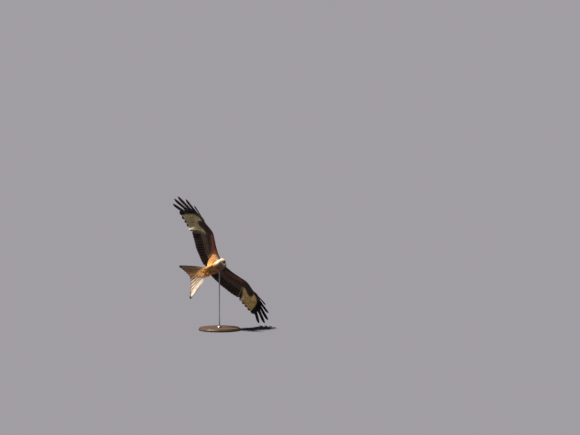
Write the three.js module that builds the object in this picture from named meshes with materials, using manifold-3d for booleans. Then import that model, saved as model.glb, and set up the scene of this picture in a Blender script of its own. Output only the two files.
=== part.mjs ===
// A red kite in a banked turn to its left, life size, on a plain display stand.
// Millimetres, +Z up, with the origin at the middle of the stand's underside.
// The bird is modelled in its own frame: x to the head, y to its left wing, z to its back.
import * as THREE from "three";
import { mergeVertices } from "three/addons/utils/BufferGeometryUtils.js";
import Module from "manifold-3d";

const wasm = await Module();
wasm.setup();

// Attitude on the stand
const headingDeg = -41.5;
const climbDeg = 23.5;
const bankDeg = 65;
const flightHeight = 600;

// Gap between parts that meet
const gap = 0.3;

// Torso, from the neck to the root of the tail: rings along x
const torso = {
  front: 62,
  back: -178,
  rings: 13,
  sides: 20,
  width: 100,
  depth: 100,
  chest: -8,
  level: -19,
};
const tailCutX = -150;

// Wing plan, seen square to the wing: "a" is forward of the shoulder line, "b" outward from the spine
const wristA = 65;
const wristB = 270;
const shoulderB = 45;
const shoulderZ = 20;
const chord = 245;
const camber = 13;
const leadingEdge = [
  [20, 10],
  [17, 50],
  [22, 110],
  [38, 172],
  [57, 230],
  [66, 262],
  [65, 292],
  [50, 337],
  [34, 385],
  [27, 410],
];
const trailingEdge = [
  [-182, 40],
  [-198, 66],
  [-201, 110],
  [-197, 150],
  [-192, 220],
  [-180, 265],
  [-165, 346],
  [-155, 388],
];
const boneEdge = [
  [-86, 10],
  [-82, 50],
  [-68, 110],
  [-56, 170],
  [-42, 230],
  [-34, 270],
  [-26, 310],
  [-6, 350],
  [12, 410],
];
const boneThickness = [
  [17, 10],
  [15, 60],
  [12.5, 110],
  [10.5, 170],
  [9.5, 230],
  [9, 270],
  [7, 300],
  [5.2, 340],
  [3, 410],
];
const wingPose = {
  right: { side: -1, armDeg: 14.8, handDeg: 14.6, tipLift: 18, handSweepDeg: 1.7 },
  left: { side: 1, armDeg: 16.6, handDeg: 16.8, tipLift: 24, handSweepDeg: -3.8 },
};

// Primaries, from the wrist out: length, and the angle of each from straight back
const primaryLength = [238, 256, 273, 297, 322, 406, 399, 364, 272, 164];
const primaryFanDeg = [33.9, 37.8, 41.8, 45.4, 49.2, 51.5, 57.6, 63.6, 73.2, 81.8];
const primaryRoot = { a: 28, b: 282, stepA: -0.5, stepB: 13.1 };
const firstFinger = 6;

// How steeply each vane leans out of the wing's surface, so that its neighbours pass over and under it
const vaneTilt = 0.085;

// Secondaries and tertials, from the wrist in
const secondaryCount = 14;
const secondaryRoot = { a: 26, b: 266, stepB: 16 };
const innermostTipB = 46;
const elbowB = 140;
const elbowA = -22;
const moultGap = 12;

// Tail
const tail = {
  feathers: 6,
  rootX: -158,
  rootZ: 2,
  spread: 132,
  centreX: -412,
  fork: 53,
  centreZ: 22,
  roll: 54,
  arch: 35,
};

// Head, in its own frame: forward to the bill, left and up
const headCentre = [77, -15, -37];
const headYawDeg = 53;
const headDownDeg = 29;
const headTiltDeg = 42;
const eyeAt = [13.5, 12.8, 4.8];
const eyeRadius = 7.6;
const eyeForwardDeg = 28;
const billBase = 26;
const gapeCut = { length: 15, depth: 5, height: 0.7, forward: 20.5, left: 15.2, up: -7.2, turnDeg: 42 };

// Where the feathered leg ends and the bare foot begins
const ankleX = -130;

// Stand
const base = { radius: 190, height: 24, step: 8, rim: 6 };
const collar = { radius: 22, height: 14 };
const rodRadius = 5.5;
const rodEntry = [0, 2, -20];

const degrees = Math.PI / 180;
const clamp = THREE.MathUtils.clamp;
const smooth = THREE.MathUtils.smoothstep;
const mix = THREE.MathUtils.lerp;

// The value at b on a line of [value, b] points
function along(line, b) {
  let i = 1;
  while (i < line.length - 1 && line[i][1] < b) i += 1;
  const [v0, b0] = line[i - 1];
  const [v1, b1] = line[i];
  return mix(v0, v1, clamp((b - b0) / (b1 - b0), 0, 1));
}

// A closed solid over rings of points. A flat ring runs along one face and back along the other,
// and both its faces are split the same way.
function shell(rings, flat = false) {
  const n = rings[0].length;
  const positions = rings.flat().flatMap((p) => [p.x, p.y, p.z]);
  const faces = [];
  for (let i = 0; i + 1 < rings.length; i += 1) {
    for (let j = 0; j < n; j += 1) {
      const a = i * n + j;
      const b = i * n + ((j + 1) % n);
      const c = b + n;
      const d = a + n;
      if (flat && j >= n / 2) faces.push(a, b, d, b, c, d);
      else faces.push(a, b, c, a, c, d);
    }
  }
  const last = (rings.length - 1) * n;
  for (let j = 0; j + 1 < n / 2; j += 1) {
    const far = n - 1 - j;
    faces.push(j, far - 1, j + 1, j, far, far - 1);
    faces.push(last + j, last + j + 1, last + far - 1, last + j, last + far - 1, last + far);
  }
  const geometry = new THREE.BufferGeometry();
  geometry.setAttribute("position", new THREE.Float32BufferAttribute(positions, 3));
  geometry.setIndex(faces);
  return solid(geometry);
}

// A closed geometry as a solid, turned so that its faces point out
function solid(geometry) {
  const plain = geometry.clone();
  plain.deleteAttribute("normal");
  plain.deleteAttribute("uv");
  const merged = mergeVertices(plain, 1e-4);
  const corners = merged.attributes.position.array;
  const faces = [...merged.index.array];
  let volume = 0;
  for (let i = 0; i < faces.length; i += 3) {
    const [p, q, r] = [0, 1, 2].map((k) => new THREE.Vector3().fromArray(corners, 3 * faces[i + k]));
    volume += p.dot(q.cross(r));
  }
  if (volume < 0) faces.reverse();
  return new wasm.Manifold(
    new wasm.Mesh({ numProp: 3, vertProperties: corners, triVerts: new Uint32Array(faces) }),
  );
}

function join(solids) {
  return solids.reduce((all, next) => all.add(next));
}

// The largest closed piece, without loose scraps
function largest(shape) {
  return shape.decompose().reduce((best, piece) => (piece.volume() > best.volume() ? piece : best));
}

// Rings round a path: each station gives a centre and half sizes across, above and below.
// A path that turns upright is given the direction that lies across it.
function tube(stations, sides, power = 2, lateral = null) {
  const rings = stations.map((s, i) => {
    const before = stations[Math.max(i - 1, 0)].at;
    const after = stations[Math.min(i + 1, stations.length - 1)].at;
    const forward = after.clone().sub(before).normalize();
    const across = lateral
      ? lateral.clone().projectOnPlane(forward).normalize()
      : new THREE.Vector3(0, 0, 1).cross(forward).normalize();
    const up = forward.clone().cross(across);
    return Array.from({ length: sides }, (_, j) => {
      const turn = (2 * Math.PI * j) / sides;
      const c = Math.cos(turn);
      const v = Math.sin(turn);
      const bulge = (Math.abs(c) ** power + Math.abs(v) ** power) ** (-1 / power);
      const height = v > 0 ? s.above : s.below;
      return s.at
        .clone()
        .addScaledVector(across, s.half * c * bulge)
        .addScaledVector(up, height * v * bulge);
    });
  });
  return shell(rings);
}

// Wing surface
// The point of the wing at plan position (a, b), raised by n square to it
function wingPoint(a, b, n, pose) {
  const place = (pa, pb) => {
    const armRise = Math.tan(pose.armDeg * degrees);
    const handRise = Math.tan(pose.handDeg * degrees);
    const rise =
      pb < wristB
        ? armRise * (pb - shoulderB)
        : armRise * (wristB - shoulderB) + handRise * (pb - wristB);
    const lift = pose.tipLift * Math.max((pb - wristB - 200) / 250, 0) ** 2;
    const back = clamp((along(leadingEdge, pb) - pa) / chord, 0, 1);
    const arch = camber * 4 * back * (1 - back) * (1 - smooth(pb, 400, 560));
    const turn = pose.handSweepDeg * degrees * smooth(pb, 235, 315);
    const da = pa - wristA;
    const db = pb - wristB;
    return new THREE.Vector3(
      wristA + da * Math.cos(turn) - db * Math.sin(turn),
      pose.side * (wristB + da * Math.sin(turn) + db * Math.cos(turn)),
      shoulderZ + rise + lift + arch,
    );
  };
  const at = place(a, b);
  const step = 1;
  const forward = place(a + step, b).sub(at);
  const outward = place(a, b + step).sub(at);
  const normal = forward.cross(outward).normalize().multiplyScalar(pose.side);
  return at.addScaledVector(normal, n);
}

// One flat vane on a surface. place(p, q, n) gives the point at plan position p, q, raised by n;
// the outer side is raised by tilt and the inner side lowered, so that neighbours pass each other.
function vane(place, spec) {
  const { root, tip, at, thick, outer, inner } = spec;
  const { bow = 0, raise = 0, rootRaise = raise, rootTilt = 0.15, mirror = 1 } = spec;
  const run = new THREE.Vector2(tip[0] - root[0], tip[1] - root[1]);
  const length = run.length();
  const outward = new THREE.Vector2(run.y, -run.x).multiplyScalar(mirror / length);
  const rings = at.map((t) => {
    const bend = bow * 4 * t * (1 - t);
    const p = root[0] + run.x * t + outward.x * bend;
    const q = root[1] + run.y * t + outward.y * bend;
    const n = mix(rootRaise, raise, smooth(t, 0, 0.45));
    const half = mix(thick, 0.55, t) / 2;
    const tilt = mix(rootTilt, vaneTilt, smooth(t, 0.05, 0.5));
    const edge = (w, h) => place(p + outward.x * w, q + outward.y * w, n + tilt * w + h);
    const wo = outer(t);
    const wi = -inner(t);
    return [edge(wo, -half), edge(wo, half), edge(wi, half), edge(wi, -half)];
  });
  return shell(rings, true);
}

// How wide a vane is at t, from a narrow quill to a round end
function webWidth(full, quill = 2.2, bloom = 0.22, end = 0.9) {
  return (t) => {
    const grown = mix(quill, full, smooth(t, 0.02, bloom));
    const rounded = t > end ? Math.sqrt(Math.max(1 - ((t - end) / (1.06 - end)) ** 2, 0.05)) : 1;
    return grown * rounded;
  };
}

// A finger's web, which narrows sharply from its notch outward
function notchedWeb(full, finger, notch) {
  return (t) => {
    const grown = mix(2.2, full, smooth(t, 0.02, 0.2));
    const narrow = mix(grown, finger, smooth(t, notch - 0.07, notch + 0.05));
    const rounded = t > 0.9 ? Math.sqrt(Math.max(1 - ((t - 0.9) / 0.13) ** 2, 0.12)) : 1;
    return narrow * rounded;
  };
}

// The value at a place between two entries of a list
function between(list, i) {
  const low = Math.min(Math.floor(i), list.length - 2);
  return mix(list[low], list[low + 1], i - low);
}

// The shaft line of primary i, counted from the wrist; a whole number is a feather
function primaryLine(i) {
  const { a, b, stepA, stepB } = primaryRoot;
  const root = [a + i * stepA, b + i * stepB];
  const angle = between(primaryFanDeg, i) * degrees;
  const length = between(primaryLength, i);
  return { root, tip: [root[0] - length * Math.cos(angle), root[1] + length * Math.sin(angle)] };
}

// The shaft line of secondary i, counted inward from the wrist
function secondaryLine(i) {
  const share = i / (secondaryCount - 1);
  const b = secondaryRoot.b - i * secondaryRoot.stepB;
  const rootA =
    b > elbowB
      ? mix(elbowA, secondaryRoot.a, (b - elbowB) / (secondaryRoot.b - elbowB))
      : elbowA;
  const tipB = mix(386, innermostTipB, share);
  const short = moultGap * Math.max(1 - i, 0);
  const tipA = along(trailingEdge, tipB) + short;
  return { root: [rootA, b], tip: [tipA, tipB] };
}

// A covert's line: from just before the flight feather's root to a share of the way down it
function partWay({ root, tip }, share) {
  const end = [mix(root[0], tip[0], share), mix(root[1], tip[1], share)];
  return { root: [root[0] + 6, root[1]], tip: end };
}

// Where rings lie along each kind of vane
const evenStations = [0, 0.14, 0.45, 0.86, 0.97, 1];
const fingerStations = [0, 0.1, 0.3, 0.55, 0.68, 0.82, 0.94, 1];
const covertStations = [0, 0.35, 0.75, 1];
const tailStations = [0, 0.2, 0.55, 0.93, 1];

function primaryVanes(place) {
  return primaryLength.map((length, i) => {
    const line = primaryLine(i);
    const number = i + 1;
    const outermost = number === primaryLength.length;
    if (number < firstFinger) {
      return vane(place, {
        ...line,
        outer: webWidth(13, 2.2, 0.22, 0.84),
        inner: number === 1 ? webWidth(30, 22, 0.22, 0.84) : webWidth(29, 2.2, 0.22, 0.84),
        at: evenStations,
        thick: 1.1,
        bow: 5,
      });
    }
    const notch = [0.72, 0.64, 0.6, 0.62, 0.5][number - firstFinger];
    return vane(place, {
      ...line,
      outer: notchedWeb(number === firstFinger ? 13 : 9, 7.5, notch - 0.04),
      inner: notchedWeb(outermost ? 12 : 27, outermost ? 8.5 : 10.5, notch),
      at: fingerStations,
      thick: 1.2,
      bow: 6,
    });
  });
}

// A tier of coverts along the flight feathers, a share of their length
function coverts(place, spec) {
  const { line, count, span, share, width, raise } = spec;
  return Array.from({ length: count }, (_, i) =>
    vane(place, {
      ...partWay(line((i * span) / (count - 1)), share),
      outer: webWidth(width * 0.42, 4, 0.35, 0.6),
      inner: webWidth(width * 0.58, 4, 0.35, 0.6),
      at: covertStations,
      thick: 0.9,
      raise,
      rootRaise: raise * 0.75,
    }),
  );
}

// Flesh and small feathers of the wing, from the shoulder to the fingers' roots
function wingBones(place) {
  const stationsB = [22, 60, 100, 150, 200, 240, 265, 292, 330, 366, 404];
  const rings = stationsB.map((b) => {
    const front = along(leadingEdge, b);
    const rear = along(boneEdge, b);
    const half = along(boneThickness, b);
    const sides = 10;
    return Array.from({ length: sides }, (_, j) => {
      const turn = (2 * Math.PI * j) / sides;
      const share = (1 + Math.cos(turn)) / 2;
      const rise = Math.sin(turn) * (0.45 + 0.75 * share) * half;
      return place(mix(rear, front, share), b, rise > 0 ? rise : rise * 0.8);
    });
  });
  return shell(rings);
}

// Alula: the small stiff feathers on the thumb, along the leading edge
function alula(place) {
  return [0, 1, 2].map((i) =>
    vane(place, {
      root: [50 - 5 * i, 298],
      tip: [41 - 12 * i, 362 - 14 * i],
      outer: webWidth(5, 3, 0.3, 0.6),
      inner: webWidth(9, 3, 0.3, 0.6),
      at: covertStations,
      thick: 0.9,
      raise: 7 + 1.3 * i,
      rootRaise: 1.5,
    }),
  );
}

// The arm and the hand of one wing, parted by a thin cut from the wrist to the trailing edge
function makeWing(pose, torsoGrown) {
  const place = (a, b, n) => wingPoint(a, b, n, pose);
  const bones = wingBones(place);
  const handCoverts = { line: primaryLine, count: 6, span: 7, width: 25 };
  const armCoverts = { line: secondaryLine, count: 9, span: secondaryCount - 1, width: 44 };
  const handVanes = [
    ...primaryVanes(place),
    ...coverts(place, { ...handCoverts, share: 0.37, raise: 3.8 }),
    ...coverts(place, { ...handCoverts, share: 0.34, raise: -3.8 }),
    ...alula(place),
  ];
  const armVanes = [
    ...Array.from({ length: secondaryCount }, (_, i) =>
      vane(place, {
        ...secondaryLine(i),
        outer: i === 0 ? webWidth(22, 18) : webWidth(14),
        inner: webWidth(24),
        at: evenStations,
        thick: 0.95,
      }),
    ),
    ...coverts(place, { ...armCoverts, share: 0.54, raise: 4 }),
    ...coverts(place, { ...armCoverts, share: 0.5, raise: -4 }),
  ];
  // The cut stands square to the plan, on the line from the wrist to the gap in the trailing edge
  const cutFrom = place(70, 281, 0);
  const cutTo = place(-160, 401, 0);
  const across = new THREE.Vector3(cutTo.y - cutFrom.y, cutFrom.x - cutTo.x, 0).normalize();
  if (across.y * pose.side < 0) across.negate();
  const reach = across.dot(cutFrom);
  const outside = across.toArray();
  const inside = across.clone().negate().toArray();
  const hand = join([bones, ...handVanes]).trimByPlane(outside, reach + gap / 2);
  const arm = join([bones, ...armVanes])
    .trimByPlane(inside, gap / 2 - reach)
    .subtract(torsoGrown);
  return { arm: largest(arm), hand: largest(hand) };
}

// Torso half sizes along x, full at the chest and slim at the tail
function torsoStations(grow = 0) {
  const { front, back, rings, width, depth, chest, level } = torso;
  return Array.from({ length: rings }, (_, i) => {
    const turn = (Math.PI * i) / (rings - 1);
    const x = mix(back, front, (1 - Math.cos(turn)) / 2);
    const forward = clamp((x - chest) / (front - chest), 0, 1);
    const rearward = clamp((chest - x) / (chest - back), 0, 1);
    const full = Math.sqrt(Math.max(1 - forward ** 2.6, 0.13)) * (1 - 0.72 * rearward ** 1.7);
    const sink = x > chest ? -9 * forward : 17 * rearward;
    return {
      at: new THREE.Vector3(x + (i === 0 ? -grow : i === rings - 1 ? grow : 0), 0, level + sink),
      half: (width / 2) * full + grow,
      above: (depth / 2) * full * 0.94 + grow,
      below: (depth / 2) * full + grow,
    };
  });
}

// Head frame
const headMatrix = new THREE.Matrix4()
  .makeTranslation(...headCentre)
  .multiply(new THREE.Matrix4().makeRotationZ(headYawDeg * degrees))
  .multiply(new THREE.Matrix4().makeRotationY(headDownDeg * degrees))
  .multiply(new THREE.Matrix4().makeRotationX(headTiltDeg * degrees));

function headPoint(forward, left, up) {
  return new THREE.Vector3(forward, left, up).applyMatrix4(headMatrix);
}

// Neck, from inside the chest to inside the skull
function neckTube() {
  const curve = new THREE.CatmullRomCurve3([
    new THREE.Vector3(18, -2, -22),
    new THREE.Vector3(40, -9, -26),
    new THREE.Vector3(55, -15, -29),
    headPoint(-11, 0, -2),
  ]);
  const half = [37, 38.5, 38, 36, 33, 30, 25];
  return tube(
    half.map((r, i) => ({ at: curve.getPoint(i / (half.length - 1)), half: r, above: r, below: r })),
    18,
  );
}

// Skull with its feathers: half width, top and bottom at each step forward
function skull() {
  const steps = [
    [-36, 8, 8, 9],
    [-33, 16, 14.5, 17],
    [-24, 23, 20.5, 23.5],
    [-10, 26, 24, 24.5],
    [3, 25, 23.8, 22.5],
    [13, 20.8, 20.4, 19],
    [20.5, 15.4, 15, 15.6],
    [billBase, 9.2, 8.6, 12.4],
  ];
  const sides = 18;
  const rings = steps.map(([forward, half, top, bottom]) =>
    Array.from({ length: sides }, (_, j) => {
      const turn = (2 * Math.PI * j) / sides;
      const height = Math.sin(turn) > 0 ? top : bottom;
      return headPoint(forward, half * Math.cos(turn), height * Math.sin(turn));
    }),
  );
  return shell(rings);
}

function eyeMatrix(side) {
  return headMatrix
    .clone()
    .multiply(new THREE.Matrix4().makeTranslation(eyeAt[0], side * eyeAt[1], eyeAt[2]))
    .multiply(new THREE.Matrix4().makeRotationZ(side * (90 - eyeForwardDeg) * degrees))
    .multiply(new THREE.Matrix4().makeRotationY(90 * degrees));
}

function eyeBall(side, grow = 0) {
  const ball = new THREE.SphereGeometry(eyeRadius + grow, 12, 8);
  return solid(ball.applyMatrix4(eyeMatrix(side)));
}

// Rim of the lids round the eye, and the brow over it
function lidRim(side) {
  const rim = new THREE.TorusGeometry(6.1, 1.3, 5, 14).translate(0, 0, 4.6);
  return solid(rim.applyMatrix4(eyeMatrix(side)));
}

function brow(side) {
  const stations = [
    [-4, 19.4, 11.6, 2.4],
    [6, 17, 11.9, 4.6],
    [14, 12.8, 11.2, 4.6],
    [22, 7.8, 8.2, 2.6],
  ].map(([forward, left, up, r]) => ({
    at: headPoint(forward, side * left, up),
    half: r,
    above: r * 0.8,
    below: r * 0.8,
  }));
  return tube(stations, 8);
}

// A bill half, round outside and flat on the side where it meets the other half:
// rings of [top forward, top up, low forward, low up, half width]
function billHalf(rows, flatSide) {
  const sides = 12;
  const rings = rows.map(([topF, topU, lowF, lowU, half]) =>
    Array.from({ length: sides }, (_, j) => {
      const turn = (2 * Math.PI * (j + 0.5)) / sides;
      const c = Math.cos(turn);
      const v = Math.sin(turn);
      const flat = v * flatSide > 0;
      const rise = (1 + Math.sign(v) * Math.abs(v) ** (flat ? 0.15 : 0.85)) / 2;
      const across = half * Math.sign(c) * Math.abs(c) ** (flat ? 0.5 : 0.85);
      return headPoint(mix(lowF, topF, rise), across, mix(lowU, topU, rise));
    }),
  );
  return shell(rings);
}

function upperBill() {
  const b = billBase;
  const rows = [
    [b, 6.9, b, -6.2, 7.8],
    [b + 4, 7.8, b + 4, -6.5, 7.6],
    [b + 9.5, 7.8, b + 9.5, -6.8, 6.8],
    [b + 10.5, 7.1, b + 10.5, -6.8, 6.3],
    [b + 16, 6.1, b + 16, -7.2, 5.4],
    [b + 22, 3, b + 21, -8.1, 4.4],
    [b + 27.5, -2.2, b + 25, -10.4, 3.1],
    [b + 30.3, -8.6, b + 28, -13.6, 1.9],
    [b + 30.8, -14, b + 29.8, -16.4, 1],
    [b + 30.2, -18, b + 30, -18.3, 0.35],
  ];
  const nostril = (side) => {
    const slot = new THREE.SphereGeometry(1, 8, 6).scale(2, 1.5, 1.1);
    slot.rotateY(-0.5).translate(b + 6.4, side * 7.3, 1.6).applyMatrix4(headMatrix);
    return solid(slot);
  };
  return billHalf(rows, -1).subtract(nostril(1)).subtract(nostril(-1));
}

function lowerBill() {
  const b = billBase;
  const rows = [
    [b, -6.6, b, -11.8, 7],
    [b + 8, -7.2, b + 8, -12.2, 6.2],
    [b + 15, -7.6, b + 14.5, -11.8, 5],
    [b + 20.5, -8.5, b + 19, -11.1, 3.4],
    [b + 23.2, -9.9, b + 22.6, -10.8, 1.6],
  ];
  return billHalf(rows, 1);
}

// The corner of the mouth, cut back under the eye
function gape(side) {
  const slot = new THREE.BoxGeometry(gapeCut.length, gapeCut.depth, gapeCut.height);
  slot.rotateZ(-side * gapeCut.turnDeg * degrees);
  slot.translate(gapeCut.forward, side * gapeCut.left, gapeCut.up);
  return solid(slot.applyMatrix4(headMatrix));
}

// Legs, tucked back under the tail: the feathered thigh, then the bare foot
function thigh(side) {
  const stations = [
    [-32, 23, -36, 12],
    [-52, 28, -40, 22],
    [-76, 29, -41, 24],
    [-100, 26, -41, 20],
    [-120, 22, -42, 13],
    [-134, 19, -42, 8],
  ].map(([x, y, z, r]) => ({
    at: new THREE.Vector3(x, side * y, z),
    half: r * 0.85,
    above: r,
    below: r,
  }));
  return tube(stations, 12);
}

function limb(points, radii, sides) {
  const curve = new THREE.CatmullRomCurve3(points);
  const last = radii.length - 1;
  const stations = radii.map((r, i) => ({ at: curve.getPoint(i / last), half: r, above: r, below: r }));
  return tube(stations, sides, 2, new THREE.Vector3(0, 1, 0));
}

// A foot folded shut: three toes curl back and down, and the hind toe closes on them
function foot(side) {
  const point = (x, y, z) => new THREE.Vector3(x, side * y, z);
  const ball = point(-160, 15, -42);
  const shank = limb([point(ankleX + 6, 20, -42), point(-145, 17.5, -43.5), ball], [5.4, 4.6, 5.2], 8);
  const claw = (from, bend, tip) => {
    const path = [from, from.clone().add(bend), from.clone().add(tip)];
    return limb(path, [2.7, 2.1, 0.4], 5);
  };
  const toe = (spread, reach) => {
    const knuckle = ball.clone().add(point(-12 * reach, spread, 2));
    const end = knuckle.clone().add(point(-9 * reach, spread * 0.3, -12));
    return [
      limb([ball, knuckle, end], [4.6, 4.4, 3.2], 6),
      claw(end.clone().add(point(1, 0, 2)), point(0, 0, -8), point(8, 0, -13)),
    ];
  };
  const hindToe = point(-157, 9, -55);
  const hallux = [
    limb([ball, point(-154, 10, -49), hindToe], [4.6, 4.2, 3.2], 6),
    claw(hindToe.clone().add(point(0.5, 0, 1.5)), point(-5, 0, -6), point(-13, 1, -6)),
  ];
  return join([shank, ...toe(-7.5, 0.9), ...toe(1, 1.15), ...toe(9.5, 0.95), ...hallux]);
}

// Tail surface: a fan from its root, rolled and arched towards the tips
function tailPoint(x, y, n) {
  const share = (tail.rootX - x) / (tail.rootX - tail.centreX);
  const wide = y / 145;
  const z = mix(tail.rootZ, tail.centreZ, share) - tail.roll * wide - tail.arch * wide * wide;
  const slope = new THREE.Vector3(0, 145, -tail.roll - 2 * tail.arch * wide).normalize();
  const normal = new THREE.Vector3(1, 0, 0).cross(slope).normalize();
  return new THREE.Vector3(x, y, z).addScaledVector(normal, n);
}

function makeTail() {
  const vanes = [];
  for (const side of [-1, 1]) {
    for (let i = 0; i < tail.feathers; i += 1) {
      const share = (i + 0.5) / (tail.feathers - 0.5);
      const tipY = tail.spread * share;
      const tipX = tail.centreX - tail.fork * share ** 1.25;
      vanes.push(
        vane(tailPoint, {
          root: [tail.rootX, side * (3 + 2.4 * i)],
          tip: [tipX, side * tipY],
          mirror: side,
          outer: webWidth(i === 5 ? 10 : 14, 3, 0.6, 0.88),
          inner: webWidth(21, 3, 0.6, 0.88),
          at: tailStations,
          thick: 0.85,
          rootTilt: 0.22,
        }),
      );
    }
    for (const [layer, reach] of [
      [1, 92],
      [-1, 128],
    ]) {
      for (let i = 0; i < 3; i += 1) {
        const share = (i + 0.5) / 2.5;
        vanes.push(
          vane(tailPoint, {
            root: [tail.rootX + 2, side * (2 + 4 * i)],
            tip: [tail.rootX - reach * (1 - 0.22 * share), side * (5 + 33 * share)],
            mirror: side,
            outer: webWidth(11, 4, 0.3, 0.55),
            inner: webWidth(15, 4, 0.3, 0.55),
            at: covertStations,
            raise: layer * 4.6,
            rootRaise: layer * 8,
            thick: 0.9,
          }),
        );
      }
    }
  }
  const rump = tube(
    [
      [tailCutX - 30, 25, 13, 14],
      [tailCutX - 14, 23, 15, 17],
      [tailCutX + 6, 23, 17.5, 19],
    ]
      .map(([x, half, above, below]) => ({ at: new THREE.Vector3(x, 0, 1), half, above, below }))
      .reverse(),
    16,
  );
  const end = tube(
    [
      [tailCutX - 28, 25, 13, 14],
      [tailCutX - 42, 20, 6, 7],
      [tailCutX - 56, 10, 1.5, 1.5],
    ].map(([x, half, above, below]) => ({ at: new THREE.Vector3(x, 0, 2), half, above, below })),
    16,
  );
  return largest(join([rump, end, ...vanes]).trimByPlane([-1, 0, 0], -tailCutX + gap / 2));
}

function makeBird() {
  const body = tube(torsoStations(), torso.sides, 2.15);
  const bodyGrown = tube(torsoStations(gap), torso.sides, 2.15);
  const neckFrom = new THREE.Vector3(46, -5, -33);
  const neckAxis = new THREE.Vector3(0.86, -0.2, -0.47).normalize();
  const headAxis = new THREE.Vector3(1, 0, 0).transformDirection(headMatrix);
  const headFrom = headPoint(-15, 0, -1);
  const chestReach = neckAxis.dot(neckFrom);
  const skullReach = headAxis.dot(headFrom);
  const flip = (v) => v.clone().negate().toArray();
  const eyes = { left: eyeBall(1), right: eyeBall(-1) };
  const whole = join([body, neckTube(), skull(), lidRim(1), lidRim(-1), brow(1), brow(-1)]);
  const front = whole.trimByPlane(neckAxis.toArray(), chestReach + gap / 2);
  const trunk = whole
    .trimByPlane(flip(neckAxis), gap / 2 - chestReach)
    .trimByPlane([1, 0, 0], tailCutX + gap / 2);
  const neck = front.trimByPlane(flip(headAxis), gap / 2 - skullReach);
  const head = front
    .trimByPlane(headAxis.toArray(), skullReach + gap / 2)
    .trimByPlane(flip(headAxis), gap - headAxis.dot(headPoint(billBase, 0, 0)))
    .subtract(eyeBall(1, gap))
    .subtract(eyeBall(-1, gap))
    .subtract(gape(1))
    .subtract(gape(-1));
  const trunkSolid = largest(trunk);
  const parts = {
    torso: trunkSolid,
    neck: largest(neck),
    head: largest(head),
    bill_upper: upperBill(),
    bill_lower: lowerBill(),
    eye_left: eyes.left,
    eye_right: eyes.right,
    tail: makeTail(),
  };
  for (const [name, pose] of Object.entries(wingPose)) {
    const wing = makeWing(pose, bodyGrown);
    parts[`wing_${name}_arm`] = wing.arm;
    parts[`wing_${name}_hand`] = wing.hand;
    parts[`foot_${name}`] = largest(foot(pose.side).trimByPlane([-1, 0, 0], gap / 2 - ankleX));
    parts[`leg_${name}`] = largest(
      thigh(pose.side).subtract(bodyGrown).trimByPlane([1, 0, 0], ankleX + gap / 2),
    );
  }
  return { parts, bodyGrown };
}

const colours = {
  torso: 0xa4592b,
  neck: 0xb7a58d,
  head: 0xcdc6ba,
  bill_upper: 0xd9b23a,
  bill_lower: 0xcfa83a,
  eye: 0xc9a24a,
  wing: 0x4a3528,
  tail: 0xb5673a,
  leg: 0xb0682f,
  foot: 0xe0b52c,
  stand_base: 0x4b3626,
  stand: 0x8d9094,
};

function meshOf(name, shape) {
  const kind = name in colours ? name : name.split("_")[0];
  const { numProp, vertProperties, triVerts } = shape.getMesh();
  const positions = [];
  for (let i = 0; i < vertProperties.length; i += numProp) {
    positions.push(...vertProperties.subarray(i, i + 3));
  }
  const geometry = new THREE.BufferGeometry();
  geometry.setAttribute("position", new THREE.Float32BufferAttribute(positions, 3));
  geometry.setIndex([...triVerts]);
  geometry.computeVertexNormals();
  const metal = name === "stand_rod" || name === "stand_collar";
  const material = new THREE.MeshStandardMaterial({
    color: colours[kind],
    roughness: metal ? 0.35 : 0.75,
    metalness: metal ? 1 : 0,
    flatShading: true,
  });
  const mesh = new THREE.Mesh(geometry, material);
  mesh.name = name;
  return mesh;
}

// The bird is turned to its attitude, and moved so that the rod enters its flank over the origin
const bird = new THREE.Group();
bird.rotation.set(-bankDeg * degrees, -climbDeg * degrees, headingDeg * degrees, "ZYX");
const rodTop = new THREE.Vector3(...rodEntry).applyEuler(bird.rotation);
bird.position.set(-rodTop.x, -rodTop.y, flightHeight);
bird.updateMatrix();
const { parts, bodyGrown } = makeBird();
for (const [name, shape] of Object.entries(parts)) bird.add(meshOf(name, shape));

// Stand: a stepped round base, a collar and a rod that ends on the bird's flank
const upright = (geometry) => geometry.rotateX(Math.PI / 2);

function standBase() {
  const { radius, height, step, rim } = base;
  const profile = [
    [0, 0],
    [radius, 0],
    [radius, height - step - 2],
    [radius - 2, height - step],
    [radius - rim, height - step],
    [radius - rim - 3, height],
    [0, height],
  ].map(([r, z]) => new THREE.Vector2(r, z));
  return solid(upright(new THREE.LatheGeometry(profile, 40)));
}

function standCollar() {
  const { radius, height } = collar;
  const profile = [
    [rodRadius + gap, 0],
    [radius, 0],
    [radius, height * 0.5],
    [radius * 0.55, height],
    [rodRadius + gap, height],
    [rodRadius + gap, 0],
  ].map(([r, z]) => new THREE.Vector2(r, z));
  const ring = upright(new THREE.LatheGeometry(profile, 16));
  return solid(ring.translate(0, 0, base.height + gap));
}

function standRod() {
  const low = base.height + gap;
  const high = flightHeight + rodTop.z;
  const rod = upright(new THREE.CylinderGeometry(rodRadius, rodRadius, high - low, 16));
  const shape = solid(rod.translate(0, 0, (high + low) / 2));
  return largest(shape.subtract(bodyGrown.transform(bird.matrix.elements)));
}

const root = new THREE.Group();
root.add(bird);
root.add(meshOf("stand_base", standBase()));
root.add(meshOf("stand_collar", standCollar()));
root.add(meshOf("stand_rod", standRod()));

export default root;
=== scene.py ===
# Red kite in a banked turn, life size, feathered over one skin, on a plain display stand.
# The bird is laid out in its own frame, in millimetres: x to the head, y to its left wing, z to its back.
# birdToStand turns it to its attitude over the stand, in metres.
import math

import bmesh
import bpy
import numpy as np
from mathutils import Matrix, Vector
from mathutils.bvhtree import BVHTree


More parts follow.
